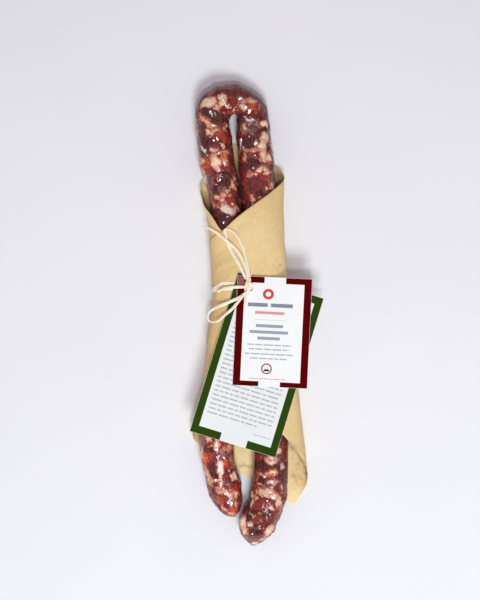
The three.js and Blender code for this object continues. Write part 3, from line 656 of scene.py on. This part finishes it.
# places where the casing is pulled flat over the filling and shines: x, y, half across, half along, turn
flatSpots = [
    (-13.1, 172.8, 1.3, 0.9, 30), (-26, 171.5, 1.3, 1.1, 0), (-24.3, 167.3, 0.9, 0.9, 0),
    (-5.5, 162.3, 1.4, 2.6, -10), (-8.4, 166, 1.3, 0.8, 20), (-36.8, 162, 0.9, 2.2, -35),
    (-34.3, 151, 1.6, 0.8, -20), (-36.4, 141, 0.9, 1.9, 30), (-34, 139, 1.9, 1, -25),
    (-31.2, 140.8, 0.9, 2.1, 30), (-2.7, 156, 2.6, 0.9, -35), (-12.2, 140.2, 0.7, 1.7, 0),
    (-5.5, 142.2, 1.2, 0.8, -30), (-1.6, 141.2, 1, 0.7, 0), (-0.4, 136.8, 0.8, 1.9, -20), (6.4, 122.6, 1.1, 0.8, 0),
    (8.7, 112.9, 2, 0.8, 12), (-28.9, 107.8, 0.9, 1.7, -20), (-31.7, 103.9, 0.8, 1.3, 0),
    (-19.2, 88.5, 0.8, 2.2, 25), (-23.2, 78.3, 1.3, 0.8, 40), (-26, 73.7, 0.8, 1.7, 20),
    (7, 103.9, 1.1, 0.8, -30), (-25.2, 121, 0.8, 1.6, 30), (-31.9, -102.5, 1, 2.2, 0),
    (-31.2, -106.6, 1.4, 0.8, 20), (-25.7, -113.2, 1.6, 0.8, -30), (-28.5, -118.6, 0.9, 1.4, 0),
    (-32.5, -131.3, 1, 2, 5), (-28.4, -135.3, 0.9, 2, 10), (-24.6, -141.8, 1.8, 0.8, -35),
    (-22.3, -149.2, 0.8, 1.6, 20), (-19.3, -149.6, 0.8, 2, 5), (9.3, -147.1, 2, 1, -25),
    (12.7, -136.4, 1.6, 0.8, 0), (9.6, -103.5, 3.2, 1.6, 0), (2.6, -168.4, 1.4, 0.9, 30), (-3.1, -174, 1, 1.6, 0),
    (6.5, -128.6, 1.8, 0.7, -20), (-12.9, -160.6, 1.1, 1.2, 0),
]
flatShape = {"edge": 0.5, "fade": (0.75, 1.35), "slope": 0.101, "slopeGrowth": 0.0006, "tilt": 0.02}


def pullFlat(points):
    # each spot becomes nearly level, tipped a little towards the lamps
    top = np.flatnonzero(points[:, 2] > sausage["topAbove"])
    edge = flatShape["edge"]
    for x, y, wide, long, turn in flatSpots:
        dx, dy = points[top, 0] - x, points[top, 1] - y
        u, v = turned(dx, dy, math.radians(turn))
        away = np.sqrt((u / (wide + edge)) ** 2 + (v / (long + edge)) ** 2)
        level = points[top[np.argmin(np.hypot(dx, dy))], 2]
        share = 1 - smoothStep(*flatShape["fade"], away)
        slope = flatShape["slope"] + flatShape["slopeGrowth"] * y
        points[top, 2] += share * (level + slope * dy - flatShape["tilt"] * dx - points[top, 2])


def sausageStations():
    # rings close together where the casing shows, further apart inside the paper
    fine = evenStations(sausageRoute(), sausage["probeStep"])
    shown = (fine[:, 2] < sausage["fineBelow"]) | (fine[:, 2] > sausage["fineAbove"])
    step = np.where(shown, sausage["fineStep"], sausage["coarseStep"])
    count = np.r_[0, np.cumsum(np.diff(fine[:, 0]) / step[1:])]
    wanted = np.linspace(0, count[-1], round(count[-1]) + 1)
    return resample(fine, count, wanted)


def sausageRings():
    stations = sausageStations()
    place, x, y, rise, radius = stations.T
    ahead = np.gradient(stations[:, 1:3], place, axis=0)
    heading = np.arctan2(ahead[:, 1], ahead[:, 0])
    acrossX, acrossY = np.sin(heading)[:, None], -np.cos(heading)[:, None]
    low = (rise + sausageBed(y))[:, None]
    angles = 2 * np.pi * np.arange(sausage["sides"]) / sausage["sides"]
    (start, end), ease = sausage["wrapped"], sausage["wrappedEase"]
    free = 1 - smoothStep(start - ease, start, y) * (1 - smoothStep(end - ease, end, y))
    waves = sum(np.sin(place[:, None] * rate + turns * angles + begin) for rate, turns, begin in sausage["lumps"])
    share = np.minimum(1, radius / sausage["fullFrom"])[:, None]
    reach = radius[:, None] + sausage["relief"] * free[:, None] * waves / 3 * share
    side = reach * np.cos(angles)
    height = np.maximum(low + radius[:, None] + reach * np.sin(angles), low)
    rings = np.stack([x[:, None] + side * acrossX, y[:, None] + side * acrossY, height], axis=2)
    outward = np.stack([np.cos(angles) * acrossX, np.cos(angles) * acrossY,
                        np.broadcast_to(np.sin(angles), reach.shape)], axis=2)
    return rings, outward, free, share


# the pieces of filling bulge between their borders, and the dried casing wrinkles over them
casing = {
    "bulge": 0.5, "bulgeReach": 1.6, "sunk": 0.35, "insidePaper": 0.2,
    # height, stretch, scale and start of the noise
    "folds": (0.7, 0.55, 0.17, 0), "wrinkles": (0.34, 0.6, 0.36, 5), "ripples": (0.2, 0.7, 0.85, 17),
    "wrinkleLevel": 0.6,
}


def casingShift(flat, border):
    shift = casing["bulge"] * smoothStep(0, casing["bulgeReach"], border) - casing["sunk"]
    for name in ("folds", "wrinkles", "ripples"):
        height, stretch, scale, start = casing[name]
        field = fieldOf(flat * (1, stretch, 1), scale, start)
        if name == "wrinkles":
            field = 1 - 2 * np.abs(field) - casing["wrinkleLevel"]
        shift = shift + height * field
    return shift


def makeSausage():
    rings, outward, free, share = sausageRings()
    flat = rings.reshape(-1, 3)
    colours, fatness, border = paintFilling(flat, chunkList(rings))
    ease = (casing["insidePaper"] + (1 - casing["insidePaper"]) * free) * share[:, 0]
    shift = casingShift(flat, border) * np.repeat(ease, sausage["sides"])
    moved = flat + outward.reshape(-1, 3) * shift[:, None]
    moved[:, 2] = np.maximum(moved[:, 2], np.repeat(rings[:, :, 2].min(axis=1), sausage["sides"]))
    pullFlat(moved)
    piece = makeObject("sausage_casing", moved, ringFaces(len(rings), sausage["sides"]), [meatMaterial()])
    paint = piece.data.color_attributes.new("filling", "FLOAT_COLOR", "POINT")
    paint.data.foreach_set("color", np.column_stack([colours, np.ones(len(flat))]).ravel())
    addValues(piece, "fatness", fatness)
    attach(piece, "root")
    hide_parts("sausage")
    print("casing triangles", 2 * len(piece.data.polygons))


makeSausage()
print("sausage made")


# paper

def kraftMaterial():
    material, tree = startMaterial("kraftPaper", 0.8)
    cloud = noiseNode(tree, objectPlace(tree), 24, 3, 0.55)
    fibre = noiseNode(tree, objectPlace(tree, (1, 0.4, 1), (0, 0, 0.6)), 900, 6, 0.7)
    speck = noiseNode(tree, objectPlace(tree), 560, 2, 0.4)
    base = rampNode(tree, cloud, (0.3, srgb(215, 184, 128)), (0.5, srgb(226, 196, 141)), (0.7, srgb(233, 206, 154)))
    grain = rampNode(tree, fibre, (0.3, (0.86, 0.85, 0.83)), (0.6, 1.05))
    base = mixColour(tree, 0.7, base, grain, "MULTIPLY")
    base = mixColour(tree, rampNode(tree, speck, (0.25, 1), (0.28, 0)), base, srgb(168, 134, 88))
    # stains, and painted shade along the hem and down the left side, darken the paper
    base = mixColour(tree, attributeNode(tree, "stainAndShade"), base, srgb(172, 134, 88))
    # painted light: where marked, the paper turns paler and less yellow
    paintedLight = mixColour(tree, 1.0, base, (1.28, 1.36, 1.54), "MULTIPLY")
    crease = noiseNode(tree, objectPlace(tree), 90, 3, 0.5, 1.2)
    setShader(tree, {
        "Base Color": mixColour(tree, attributeNode(tree, "pale"), base, paintedLight),
        "Normal": bumpNode(tree, fibre, 0.25, 0.0002, bumpNode(tree, crease, 0.3, 0.002)),
        "Specular IOR Level": 0.2})
    return material


def legCentres(y):
    left = [(row[1], row[0]) for row in sausage["leftLeg"]]
    right = [(row[1], row[0]) for row in sausage["rightLeg"]][::-1]
    return tableAt(left, y)[1], tableAt(right, y)[1]


def sideTurn(start, side, end, power):
    # half a turn of paper round one side, for every y at once: a list of (x, z) arrays
    points = []
    steps = wrap["arcSteps"]
    for i in range(2 * steps + 1):
        flat = start if i < steps else end
        angle = math.pi / 2 * (i / steps if i < steps else 2 - i / steps)
        out = math.sin(angle) ** (2 / power)
        up = max(math.cos(angle), 0) ** (2 / power)
        points.append((flat[0] + (side[0] - flat[0]) * out, side[1] + (flat[1] - side[1]) * up))
    return points


def sheetPoints(across, along):
    # where each point of the flat sheet lies on the wrap
    fade = 1 - smoothStep(*wrap["hemRiseOver"], along)
    drawn = wrap["hemRise"] * np.maximum(0, wrap["hemRiseFrom"] - across) * fade
    past = np.maximum(0, along + drawn - wrap["bluntFrom"])
    y = along + drawn - past + wrap["bluntReach"] * (1 - np.exp(-past / wrap["bluntReach"]))
    leftX, rightX = legCentres(y)
    _, leftSide, rightSide, leftHeight, rightHeight, leftPower, rightPower = tableAt(wrap["sides"], y)
    back, under, inner, outer = wrapLevels(y)
    leftFoot = np.minimum(leftX, leftSide + leftHeight + wrap["footInset"])
    rightFoot = np.maximum(rightX, rightSide - rightHeight - wrap["footInset"])
    pitch = wrap["pitch"]
    tucked = sideTurn((rightFoot, back + pitch), (rightSide - pitch, rightHeight), (rightX, inner), rightPower)
    innerTurn = sideTurn((leftX, inner), (leftSide + pitch, leftHeight), (leftFoot, back), leftPower)
    rise = sideTurn((rightFoot, back), (rightSide, rightHeight), (rightX, outer), rightPower)
    outerTurn = sideTurn((leftX, outer), (leftSide, leftHeight), (leftFoot, under), leftPower)
    points = tucked + innerTurn + rise + outerTurn + [(rightX, under)]
    x = np.stack([np.broadcast_to(p[0], y.shape) for p in points])
    z = np.stack([np.broadcast_to(p[1], y.shape) for p in points])
    lengths = np.vstack([np.zeros(y.shape), np.cumsum(np.hypot(np.diff(x, axis=0), np.diff(z, axis=0)), axis=0)])
    backStart = len(tucked) + len(innerTurn) - 1
    lengths += x[backStart] - lengths[backStart]
    # straight lines between the section's points, each sheet point in its own section
    low = np.clip((lengths <= across).sum(axis=0) - 1, 0, len(points) - 2)
    column = np.arange(len(y))
    before, after = lengths[low, column], lengths[low + 1, column]
    share = np.clip((across - before) / np.maximum(after - before, 1e-9), 0, 1)
    px = x[low, column] * (1 - share) + x[low + 1, column] * share
    pz = z[low, column] * (1 - share) + z[low + 1, column] * share
    return np.column_stack([px, y, pz])


# folds and dents on top of the wrap: start, end, half width, height (mm)
paperFolds = [
    ((26, -101.5), (31.5, -108.7), 1.6, -1.1), ((33, -109.5), (39, -121), 1.8, 0.9),
    ((32.5, -116), (39.5, -131), 1.6, -1.2), ((36, -110), (40.5, -127), 1.2, 0.8),
    ((-33, 36), (-18, 44), 2.2, -0.5), ((-26, 52), (-14, 71), 2.6, 0.5),
    ((-34, 12), (-22, 30), 1.8, -0.6), ((16, 30), (24, 60), 2.4, -0.4),
    ((-8, 34), (-2, 62), 2.6, -0.4), ((-38, -6), (-33, -34), 2.4, -0.5),
    ((30, -66), (24, -98), 2.8, 0.5),
]
# stains and painted shade, each along a line: start, end, half width, share; the thin lines along the front flap's
# lower edge are painted shadow under the hem, the wide patch over the crumpled flap and the line down the left side are
# painted shade, and some others are stains
paperStainsAndShadows = [
    ((-12.6, -121.6), (-4, -122.4), 1.3, 0.95), ((-13, -118.4), (-9, -119.4), 1, 0.4),
    ((33, -111), (37, -119), 1, 0.7), ((37.5, -117), (40, -127), 1.6, 0.7),
    ((31, -130), (37, -132), 2, 0.4), ((34, -118), (34.5, -124), 2.2, 0.35),
    ((29, -110), (35, -134), 6.5, 0.42), ((31.4, -109.5), (37.2, -117), 0.7, 0.6),
    ((37.2, -117), (40.3, -123.2), 0.7, 0.6), ((40.3, -123.2), (41, -131), 0.7, 0.5),
    ((26, -104), (30.5, -108.2), 2, 0.8), ((26, -101), (30, -105), 0.8, 0.5),
    ((28.5, -128), (34, -137), 1, 0.35), ((-36, -24), (-35, -46), 1.6, 0.3),
]
paperShape = {
    "half": 0.16, "probe": 0.5, "onTop": (20, 27),
    # height, stretch, scale and start of the gentle waves, none where the paper lies on the floor
    "waves": ((0.8, (1, 0.8, 0.86), 0.035, 0), (0.3, (1, 0.64, 0.9), 0.11, 3)), "wavesRise": (4, 14),
    "crushed": ((34, -110), (38, -131), 6), "crushHeight": 1.3, "crushScale": 0.32, "crushRise": (6, 14),
    # painted light: the hem is made paler at the lower end, by height, and at the upper left
    "paintedLightBelow": (-96, -110), "paintedLightRise": (9, 3), "paintedLightLeft": (-36, -40), "paintedLightAbove": (70, 82), "paintedLightShare": 0.8,
}


def lineShare(x, y, start, end, half):
    # 1 on the line from start to end, falling to 0 beside it
    (x0, y0), (x1, y1) = start, end
    t = np.clip(((x - x0) * (x1 - x0) + (y - y0) * (y1 - y0)) / ((x1 - x0) ** 2 + (y1 - y0) ** 2), 0, 1)
    away = np.hypot(x - x0 - t * (x1 - x0), y - y0 - t * (y1 - y0))
    return np.exp(-(away / half) ** 2)


def paperWaves(middle):
    # how far each point moves in or out, the same through every layer
    x, y, z = middle.T
    waves = sum(height * fieldOf(middle * stretch, scale, start)
                for height, stretch, scale, start in paperShape["waves"])
    waves = np.abs(waves) * smoothStep(*paperShape["wavesRise"], z)
    onTop = smoothStep(*paperShape["onTop"], z)
    for start, end, breadth, height in paperFolds:
        waves = waves - height * onTop * lineShare(x, y, start, end, breadth)
    crushed = paperShape["crushHeight"] * lineShare(x, y, *paperShape["crushed"])
    return waves + crushed * fieldOf(middle, paperShape["crushScale"], 12.0) * smoothStep(*paperShape["crushRise"], z)


def paperMarks(middle):
    # stains with painted shade, and where painted light makes the paper paler
    x, y, z = middle.T
    stainAndShade = sum(share * lineShare(x, y, start, end, breadth) for start, end, breadth, share in paperStainsAndShadows)
    stainAndShade = np.clip(stainAndShade * (0.7 + 0.9 * fieldOf(middle, 0.9, 40.0)), 0, 1)
    # painted light, at the low end of the hem and at the upper left
    pale = smoothStep(*paperShape["paintedLightBelow"], y) * smoothStep(*paperShape["paintedLightRise"], z)
    upper = smoothStep(*paperShape["paintedLightLeft"], x) * smoothStep(*paperShape["paintedLightAbove"], y)
    return stainAndShade, pale + paperShape["paintedLightShare"] * upper


def crossingPull(middle):
    # the edges cross a little lower above the legs than on a plain roll
    x, y, z = middle.T
    (cx, cy), (reachX, reachY) = wrap["crossing"], wrap["crossingReach"]
    share = np.exp(-((x - cx) / reachX) ** 2 - ((y - cy) / reachY) ** 2) * smoothStep(*paperShape["onTop"], z)
    return share[:, None] * np.array([*wrap["crossingPull"], 0])


def makePaper():
    rows = wrap["cells"] + 1
    share = np.linspace(0, 1, rows)
    a, b = (grid.ravel() for grid in np.meshgrid(share, share, indexing="ij"))
    across, along = [(1 - a) * ((1 - b) * wrap["top"][k] + b * wrap["left"][k])
                     + a * ((1 - b) * wrap["right"][k] + b * wrap["bottom"][k]) for k in (0, 1)]
    middle = sheetPoints(across, along)
    probe = paperShape["probe"]
    inward = unit(np.cross(sheetPoints(across + probe, along) - sheetPoints(across - probe, along),
                           sheetPoints(across, along + probe) - sheetPoints(across, along - probe)))
    stainAndShade, pale = paperMarks(middle)
    middle = middle + crossingPull(middle) - inward * paperWaves(middle)[:, None]
    half = inward * paperShape["half"]
    top, rest = slabFaces(rows, rows)
    piece = makeObject("paper_sheet", np.vstack([middle + half, middle - half]), top + rest, [kraftMaterial()])
    addValues(piece, "stainAndShade", np.tile(stainAndShade, 2))
    addValues(piece, "pale", np.tile(pale, 2))
    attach(piece, "root")
    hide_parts("paper_wrap")


makePaper()
print("paper made")


# raffia tie: the turns, the knot and the short end

tie = {
    "thickness": 0.5, "width": 2.9, "bandPlaces": (21.4, 25.4), "away": 0.72, "low": 0.26, "everyThird": 3,
    "sway": 0.25, "swayRate": 0.7, "sag": 4.6, "sagOver": (-26, -36), "sagFrom": 18.5, "sagSpan": 7,
    "bandSteps": 180, "bandSeed": 20, "bandRidge": 0.12, "bandRidges": 3.2, "bandPhase": 1.5,
    # route, widths along it, thickness, seed
    "strands": [
        ([(-31, 18.6, 30.6), (-28, 20.2, 32.3), (-24.5, 21.6, 33.5), (-20.4, 22.2, 34.7), (-15.6, 22.5, 35.3),
          (-7, 22.6, 36)], [(0, 1.6), (0.3, 2.4), (1, 2.3)], 0.5, 31),
        ([(-6.3, 20.6, 36.2), (-7, 16.8, 35.9), (-8, 12.6, 35.4), (-8.9, 9.4, 35.1), (-9.7, 6.6, 34.9)],
         [(0, 2), (0.5, 2.1), (0.9, 1.8), (1, 1)], 0.5, 33),
        ([(-4.2, 47.9, 30.6), (-3.7, 41, 31.6), (-4, 34, 33.6), (-5.4, 29, 35.4)],
         [(0, 0.3), (0.5, 0.7), (1, 0.9)], 0.3, 39),
        ([(-7.6, 29.6, 35.6), (-7, 26.6, 36.9), (-6.7, 23, 37.4), (-6.9, 19.8, 37), (-7.9, 17.4, 36.2)],
         [(0, 2), (0.3, 2.3), (0.6, 2.2), (1, 1.6)], 0.8, 35),
        ([(-5.2, 29.8, 35.6), (-5.3, 26.6, 36.8), (-5, 23.4, 37.3), (-5.9, 20.2, 37), (-8.6, 18, 36.2)],
         [(0, 1.9), (0.3, 2.2), (0.6, 2.2), (1, 1.7)], 0.8, 41),
        ([(-9, 23.4, 35.7), (-7.4, 25.2, 37), (-5.6, 25.7, 37.5), (-4, 24.9, 37.2), (-3.3, 23.5, 36.4),
          (-3.9, 22.5, 36)], [(0, 1.2), (0.4, 1.9), (0.8, 1.8), (1, 1.3)], 0.7, 43),
    ],
    "stem": {"centre": (-5.4, 22.6), "radius": 1.1, "span": (32.2, 36.2), "sides": 12, "levels": 8},
}


def bandRoute(y):
    leftX, rightX = (float(v) for v in legCentres(y))
    row = [float(v) for v in tableAt(wrap["sides"], y)]
    _, leftSide, rightSide, leftHeight, rightHeight, leftPower, rightPower = row
    outer = float(wrapLevels(y)[3]) + tie["away"]
    right = sideTurn((rightX, tie["low"]), (rightSide + tie["away"], rightHeight), (rightX, outer), rightPower)
    left = sideTurn((leftX, outer), (leftSide - tie["away"], leftHeight), (leftX, tie["low"]), leftPower)
    route = []
    for i, (x, z) in enumerate((right + left)[::tie["everyThird"]]):
        drop = tie["sag"] * float(smoothStep(*tie["sagOver"], x)) * (y - tie["sagFrom"]) / tie["sagSpan"]
        route.append((x, y + tie["sway"] * math.sin(i * tie["swayRate"]) - drop, z))
    return np.array(route)


def bandMesh(y, seed):
    # a closed turn whose flat side lies against the paper
    route = bandRoute(y)
    closed = np.vstack([route, route[:1]])
    lengths = np.r_[0, np.cumsum(np.linalg.norm(np.diff(closed, axis=0), axis=1))]
    places = np.linspace(0, lengths[-1], tie["bandSteps"])[:-1]
    path = resample(closed, lengths, places)
    side = np.array((0, 1.0, 0))
    out = unit(np.cross(side, unit(np.roll(path, -1, axis=0) - np.roll(path, 1, axis=0))))
    angles, grain = strandSection(seed)
    points = []
    for place, middle, rise in zip(places, path, out):
        wide = 1 + drift("wander", place, seed)
        for angle in angles:
            s, u = math.cos(angle) * tie["width"] / 2 * wide, math.sin(angle) * tie["thickness"] / 2
            ridge = math.cos(tie["bandRidges"] * s / tie["width"] * math.pi + tie["bandPhase"])
            u += tie["bandRidge"] * tie["thickness"] * ridge
            points.append(middle + side * s + rise * u)
    faces = ringFaces(len(places), strand["sides"], closed=True)
    return points, faces, np.repeat(places, strand["sides"]), np.tile(grain, len(places))


def stemMesh():
    # the stem that goes down through both tags
    stem = tie["stem"]
    (cx, cy), radius = stem["centre"], stem["radius"]
    ring = np.linspace(0, 2 * math.pi, stem["sides"] + 1)[:-1]
    levels = np.linspace(*stem["span"], stem["levels"])
    points = [(cx + radius * math.cos(t), cy + radius * math.sin(t), z) for z in levels for t in ring]
    return points, ringFaces(len(levels), len(ring)), np.repeat(levels, len(ring)), np.tile(ring, len(levels))


def makeTie():
    parts = [bandMesh(y, tie["bandSeed"] + i) for i, y in enumerate(tie["bandPlaces"])]
    parts += [ribbonMesh(*row) for row in tie["strands"]] + [stemMesh()]
    faces, start = [], 0
    for part in parts:
        faces += [tuple(i + start for i in face) for face in part[1]]
        start += len(part[0])
    points, along, across = (np.concatenate([part[k] for part in parts]) for k in (0, 2, 3))
    piece = makeObject("raffia_turns", points, faces, [raffia])
    addGrain(piece, along, across)
    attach(piece, "root")
    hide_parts("raffia_tie")


makeTie()
print("tie made")


# tags

def cardMaterial(name, colour, roughness=0.5, mottle=0.04, gloss=0.35):
    material, tree = startMaterial(name, roughness)
    fibre = noiseNode(tree, objectPlace(tree), 1500, 4, 0.6)
    cloud = noiseNode(tree, objectPlace(tree), 60, 3, 0.5)
    base = mixColour(tree, 1.0, rampNode(tree, cloud, (0.3, 1 - mottle), (0.7, 1)), srgb(*colour), "MULTIPLY")
    grain = rampNode(tree, fibre, (0.3, 1 - 2 * mottle), (0.65, 1))
    setShader(tree, {"Base Color": mixColour(tree, 1.0, base, grain, "MULTIPLY"),
                     "Normal": bumpNode(tree, fibre, 0.12, 0.0001), "Specular IOR Level": gloss})
    return material


inks = {
    # colour, then roughness, mottle and gloss where they differ from plain card
    "whiteCard": [(246, 247, 248)], "whiteCardBack": [(233, 236, 238)], "greenInk": [(45, 69, 13), 0.6, 0.05, 0.02],
    # the near-black ink is a painted shadow on the back card's border
    "greyGreenInk": [(176, 184, 180)], "lightGreyInk": [(192, 197, 196)], "paintedEdgeShadow": [(16, 22, 10), 0.7, 0.05, 0.02],
    # the dull maroon is a painted sheen on the front card's corner, lighter than its border
    "paintedCornerSheen": [(150, 74, 78), 0.5, 0.1], "maroonInk": [(91, 0, 1), 0.6, 0.05, 0.02],
    "navyInk": [(126, 137, 152)], "redInk": [(231, 146, 138)], "slateInk": [(150, 160, 178)],
    "greyInk": [(176, 184, 196)], "pinkInk": [(226, 178, 182)], "brightRedInk": [(222, 44, 34)],
    "plumInk": [(150, 76, 78)],
}

hole = {"centre": (-5.0, 21.7), "radius": 2.4, "vertices": 40, "depth": 6}
card = {"thickness": 0.5, "markTop": 0.54, "markFoot": 0.46, "grid": (16, 24), "edge": 0.15, "lift": 0.00032}

# sizes in millimetres; the print's kinds are places in the list of inks
frontTag = {
    "size": (59.2, 86.8), "centre": (12.6, -13.1), "turn": -2.8, "height": 33.8,
    "border": (5.8, 4.8, 3.9), "gap": 17, "shift": (0.4, -0.6),
    "inks": ("whiteCard", "maroonInk", "navyInk", "redInk", "slateInk", "greyInk", "pinkInk"),
    # bars of large print, of medium print, a rule and three lines of smaller print
    "fields": [((-20.4, 19.6, -4.6, 22.6), 2), ((-2.2, 19.6, 15.2, 22.6), 2), ((-14.4, 13.9, 8.8, 16.1), 3),
               ((-14.2, 9.3, 9.2, 9.55), 5), ((-13.2, 3.4, 8.2, 5.8), 4), ((-18, -1.5, 12.4, 0.9), 4),
               ((-11.6, -6.4, 6.2, -4), 4)],
    # lines of bars: from, to, height on the card, thickness, lengths of a bar, space, kind
    "lines": [(start, end, y, 1.1, (3.4, 8), 0.8, 5) for start, end, y in (
        (-19.6, 15.6, -10.4), (-18, 13.8, -13.9), (-21, 17, -17.7), (-16.8, 12.4, -21.2))]
    + [(-16.8, 12.2, -37.2, 0.8, (7.0, 12.0), 0.6, 6)],
    "seed": 11,
}
backTag = {
    "size": (70.9, 131.4), "centre": (0.2, -39), "turn": -17, "height": 32.9,
    "border": (5.8, 6, 6.2), "gap": 21.5, "shift": (0, 0),
    "inks": ("whiteCardBack", "greenInk", "greyGreenInk", "lightGreyInk", "paintedEdgeShadow"),
    # painted shadow: near-black patches on the border beside the knot, where the raffia loop and the card's edge shade
    # it
    "fields": [((-35.3, 36.4, -33.9, 38.2), 4), ((-34.9, 39.2, -32.9, 40.4), 4), ((-33.9, 41.2, -31.4, 42.2), 4)],
    "lines": [(-26.6, 25.4 if row else 14, -46.6 + row * 3.66, 1.15, (2.4, 8.6), 1.1, 2) for row in range(22)]
    + [(13.6, 27.4, -53.2, 0.9, (4.2, 7.0), 0.7, 3)],
    "seed": 23,
}


def borderFields(tag):
    # the printed border as rectangles (x0, y0, x1, y1), left open in the middle of both ends
    w, h = tag["size"][0] / 2 - card["edge"], tag["size"][1] / 2 - card["edge"]
    side, top, bottom = tag["border"]
    g = tag["gap"] / 2
    upper, lower = tag["shift"]
    return [(-w, -h, -w + side, h), (w - side, -h, w, h), (-w, h - top, upper - g, h), (upper + g, h - top, w, h),
            (-w, -h, lower - g, -h + bottom), (lower + g, -h, w, -h + bottom)]


def printFields(tag):
    # the border, and plain bars of uneven width in place of words
    draw = random.Random(tag["seed"])
    fields = [(box, 1) for box in borderFields(tag)] + tag["fields"]
    for x, end, y, height, lengths, space, kind in tag["lines"]:
        while x < end - 0.6:
            width = min(draw.uniform(*lengths), end - x)
            fields.append(((x, y - height / 2, x + width, y + height / 2), kind))
            x += width + space
    return fields


def cardBend(x, y):
    # both cards lift a little with the distance from the knot, more to the right
    away = np.hypot(x - hole["centre"][0], y - hole["centre"][1])
    return card["lift"] * away**2 * (0.6 + 0.4 * np.tanh((x + 5) / 30))


def worldPoints(tag, points, rise):
    right, up = turned(points[:, 0], points[:, 1], math.radians(-tag["turn"]))
    x, y = tag["centre"][0] + right, tag["centre"][1] + up
    return np.column_stack([x, y, tag["height"] + rise + cardBend(x, y)])


def makeTag(name, node, tag, palette):
    # a grid with a line along every edge of the print, so that each face has one colour
    fields = printFields(tag)
    lines = []
    for k, count in enumerate(card["grid"]):
        half = tag["size"][k] / 2
        values = {-half, half} | {box[i] for box, _ in fields for i in (k, k + 2)}
        values |= set(np.linspace(-half, half, count)[1:-1].round(3))
        lines.append(np.array(sorted({round(float(v), 3) for v in values})))
    xs, ys = lines
    kinds = np.zeros((len(xs) - 1, len(ys) - 1), int)
    midX, midY = (xs[1:] + xs[:-1]) / 2, (ys[1:] + ys[:-1]) / 2
    for (x0, y0, x1, y1), kind in fields:
        kinds[np.ix_((midX > x0) & (midX < x1), (midY > y0) & (midY < y1))] = kind
    flat = np.column_stack([grid.ravel() for grid in np.meshgrid(xs, ys, indexing="ij")])
    points = np.vstack([worldPoints(tag, flat, card["thickness"]), worldPoints(tag, flat, 0.0)])
    top, rest = slabFaces(len(xs), len(ys))
    piece = makeObject(name, points, top + rest, [palette[ink] for ink in tag["inks"]],
                       kinds.ravel().tolist() + [0] * len(rest), smooth=False)
    punchHole(piece, tag)
    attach(piece, "root")
    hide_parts(node)


def makeMark(name, tag, centre, outline, material, lift):
    # a thin printed shape that lies on the card
    shape = np.array(outline) + centre
    points = np.vstack([worldPoints(tag, shape, card["markTop"] + lift), worldPoints(tag, shape, card["markFoot"])])
    patch = makeObject(name, points, ringFaces(2, len(shape)), [material], smooth=False)
    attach(patch, "root")


def punchHole(piece, tag):
    place = (hole["centre"][0] * mm, hole["centre"][1] * mm, tag["height"] * mm)
    bpy.ops.mesh.primitive_cylinder_add(vertices=hole["vertices"], radius=hole["radius"] * mm,
                                        depth=hole["depth"] * mm, location=place)
    punch = bpy.context.object
    cut = piece.modifiers.new("hole", "BOOLEAN")
    cut.object = punch
    cut.operation = "DIFFERENCE"
    cut.solver = "EXACT"
    bpy.context.view_layer.update()
    ready = bpy.data.meshes.new_from_object(piece.evaluated_get(bpy.context.evaluated_depsgraph_get()))
    piece.modifiers.clear()
    piece.data = ready
    bpy.data.objects.remove(punch)


def ovalPoints(across, along, count=40, turn=0.0):
    angles = [turn + 2 * math.pi * i / count for i in range(count)]
    return [(across * math.cos(angle), along * math.sin(angle)) for angle in angles]


# round marks with white middles and a diamond, and a painted sheen on the upper left corner: centre, outline, ink, lift
marks = [
    ((-4.6, 29.8), ovalPoints(4.4, 4.2), "brightRedInk", 0),
    ((-4.6, 29.8), ovalPoints(2.1, 2), "whiteCard", 0.04),
    ((-3.3, -29.2), ovalPoints(4.3, 4.3), "plumInk", 0),
    ((-3.3, -29.2), ovalPoints(3.2, 3.2), "whiteCard", 0.04),
    ((-3.3, -30.4), ovalPoints(3, 1.1, 4, math.pi / 4), "maroonInk", 0.08),
    ((-27, 38.6), [(-2.3, -5.6), (2.6, -4.2), (2.9, 4.2), (-2.3, 4.5)], "paintedCornerSheen", 0),
]


def makeTags():
    palette = {name: cardMaterial(name, *look) for name, look in inks.items()}
    makeTag("back_card", "back_tag", backTag, palette)
    makeTag("front_card", "front_tag", frontTag, palette)
    for k, (centre, outline, ink, lift) in enumerate(marks):
        makeMark(f"front_card_mark_{k + 1}", frontTag, centre, outline, palette[ink], lift)


makeTags()
print("tags made")


# floor and light

def floorMaterial():
    material, tree = startMaterial("paleFloor", 0.9)
    cloud = noiseNode(tree, objectPlace(tree), 6, 2, 0.5)
    tone = rampNode(tree, cloud, (0.3, srgb(233, 232, 238)), (0.7, srgb(236, 235, 240)))
    setShader(tree, {"Base Color": tone, "Specular IOR Level": 0.1})
    return material


studio = {
    "floorSize": 6, "aim": (0, 0, 0.01), "airColour": (1, 0.88, 0.905, 1), "airStrength": 0.36,
    # name, place, size, power, colour
    "lamps": [
        ("softKey", (0.16, -0.82, 1.42), 0.42, 15.8, (0.906, 0.996, 1)),
        ("glintLamp", (0.02, -0.36, 1.72), 0.16, 6.4, (0.98, 0.995, 1)),
        ("softFill", (-1.1, 0.9, 1.5), 1.2, 1.2, (1, 0.96, 0.97))],
}


def makeStudio():
    bpy.ops.mesh.primitive_plane_add(size=studio["floorSize"], location=(0, 0, 0))
    floor = bpy.context.object
    floor.name = "studio_floor"
    floor.data.materials.append(floorMaterial())
    for name, place, size, power, colour in studio["lamps"]:
        data = bpy.data.lights.new(name, "AREA")
        data.size = size
        data.energy = power
        data.color = colour
        lamp = bpy.data.objects.new(name, data)
        lamp.location = place
        aim = Vector(studio["aim"]) - Vector(place)
        lamp.rotation_euler = aim.to_track_quat("-Z", "Y").to_euler()
        bpy.context.scene.collection.objects.link(lamp)
    world = bpy.data.worlds.new("studioAir")
    world.use_nodes = True
    background = world.node_tree.nodes["Background"]
    background.inputs["Color"].default_value = studio["airColour"]
    background.inputs["Strength"].default_value = studio["airStrength"]
    bpy.context.scene.world = world
    bpy.context.scene.view_settings.view_transform = "Standard"


makeStudio()
print("studio made")
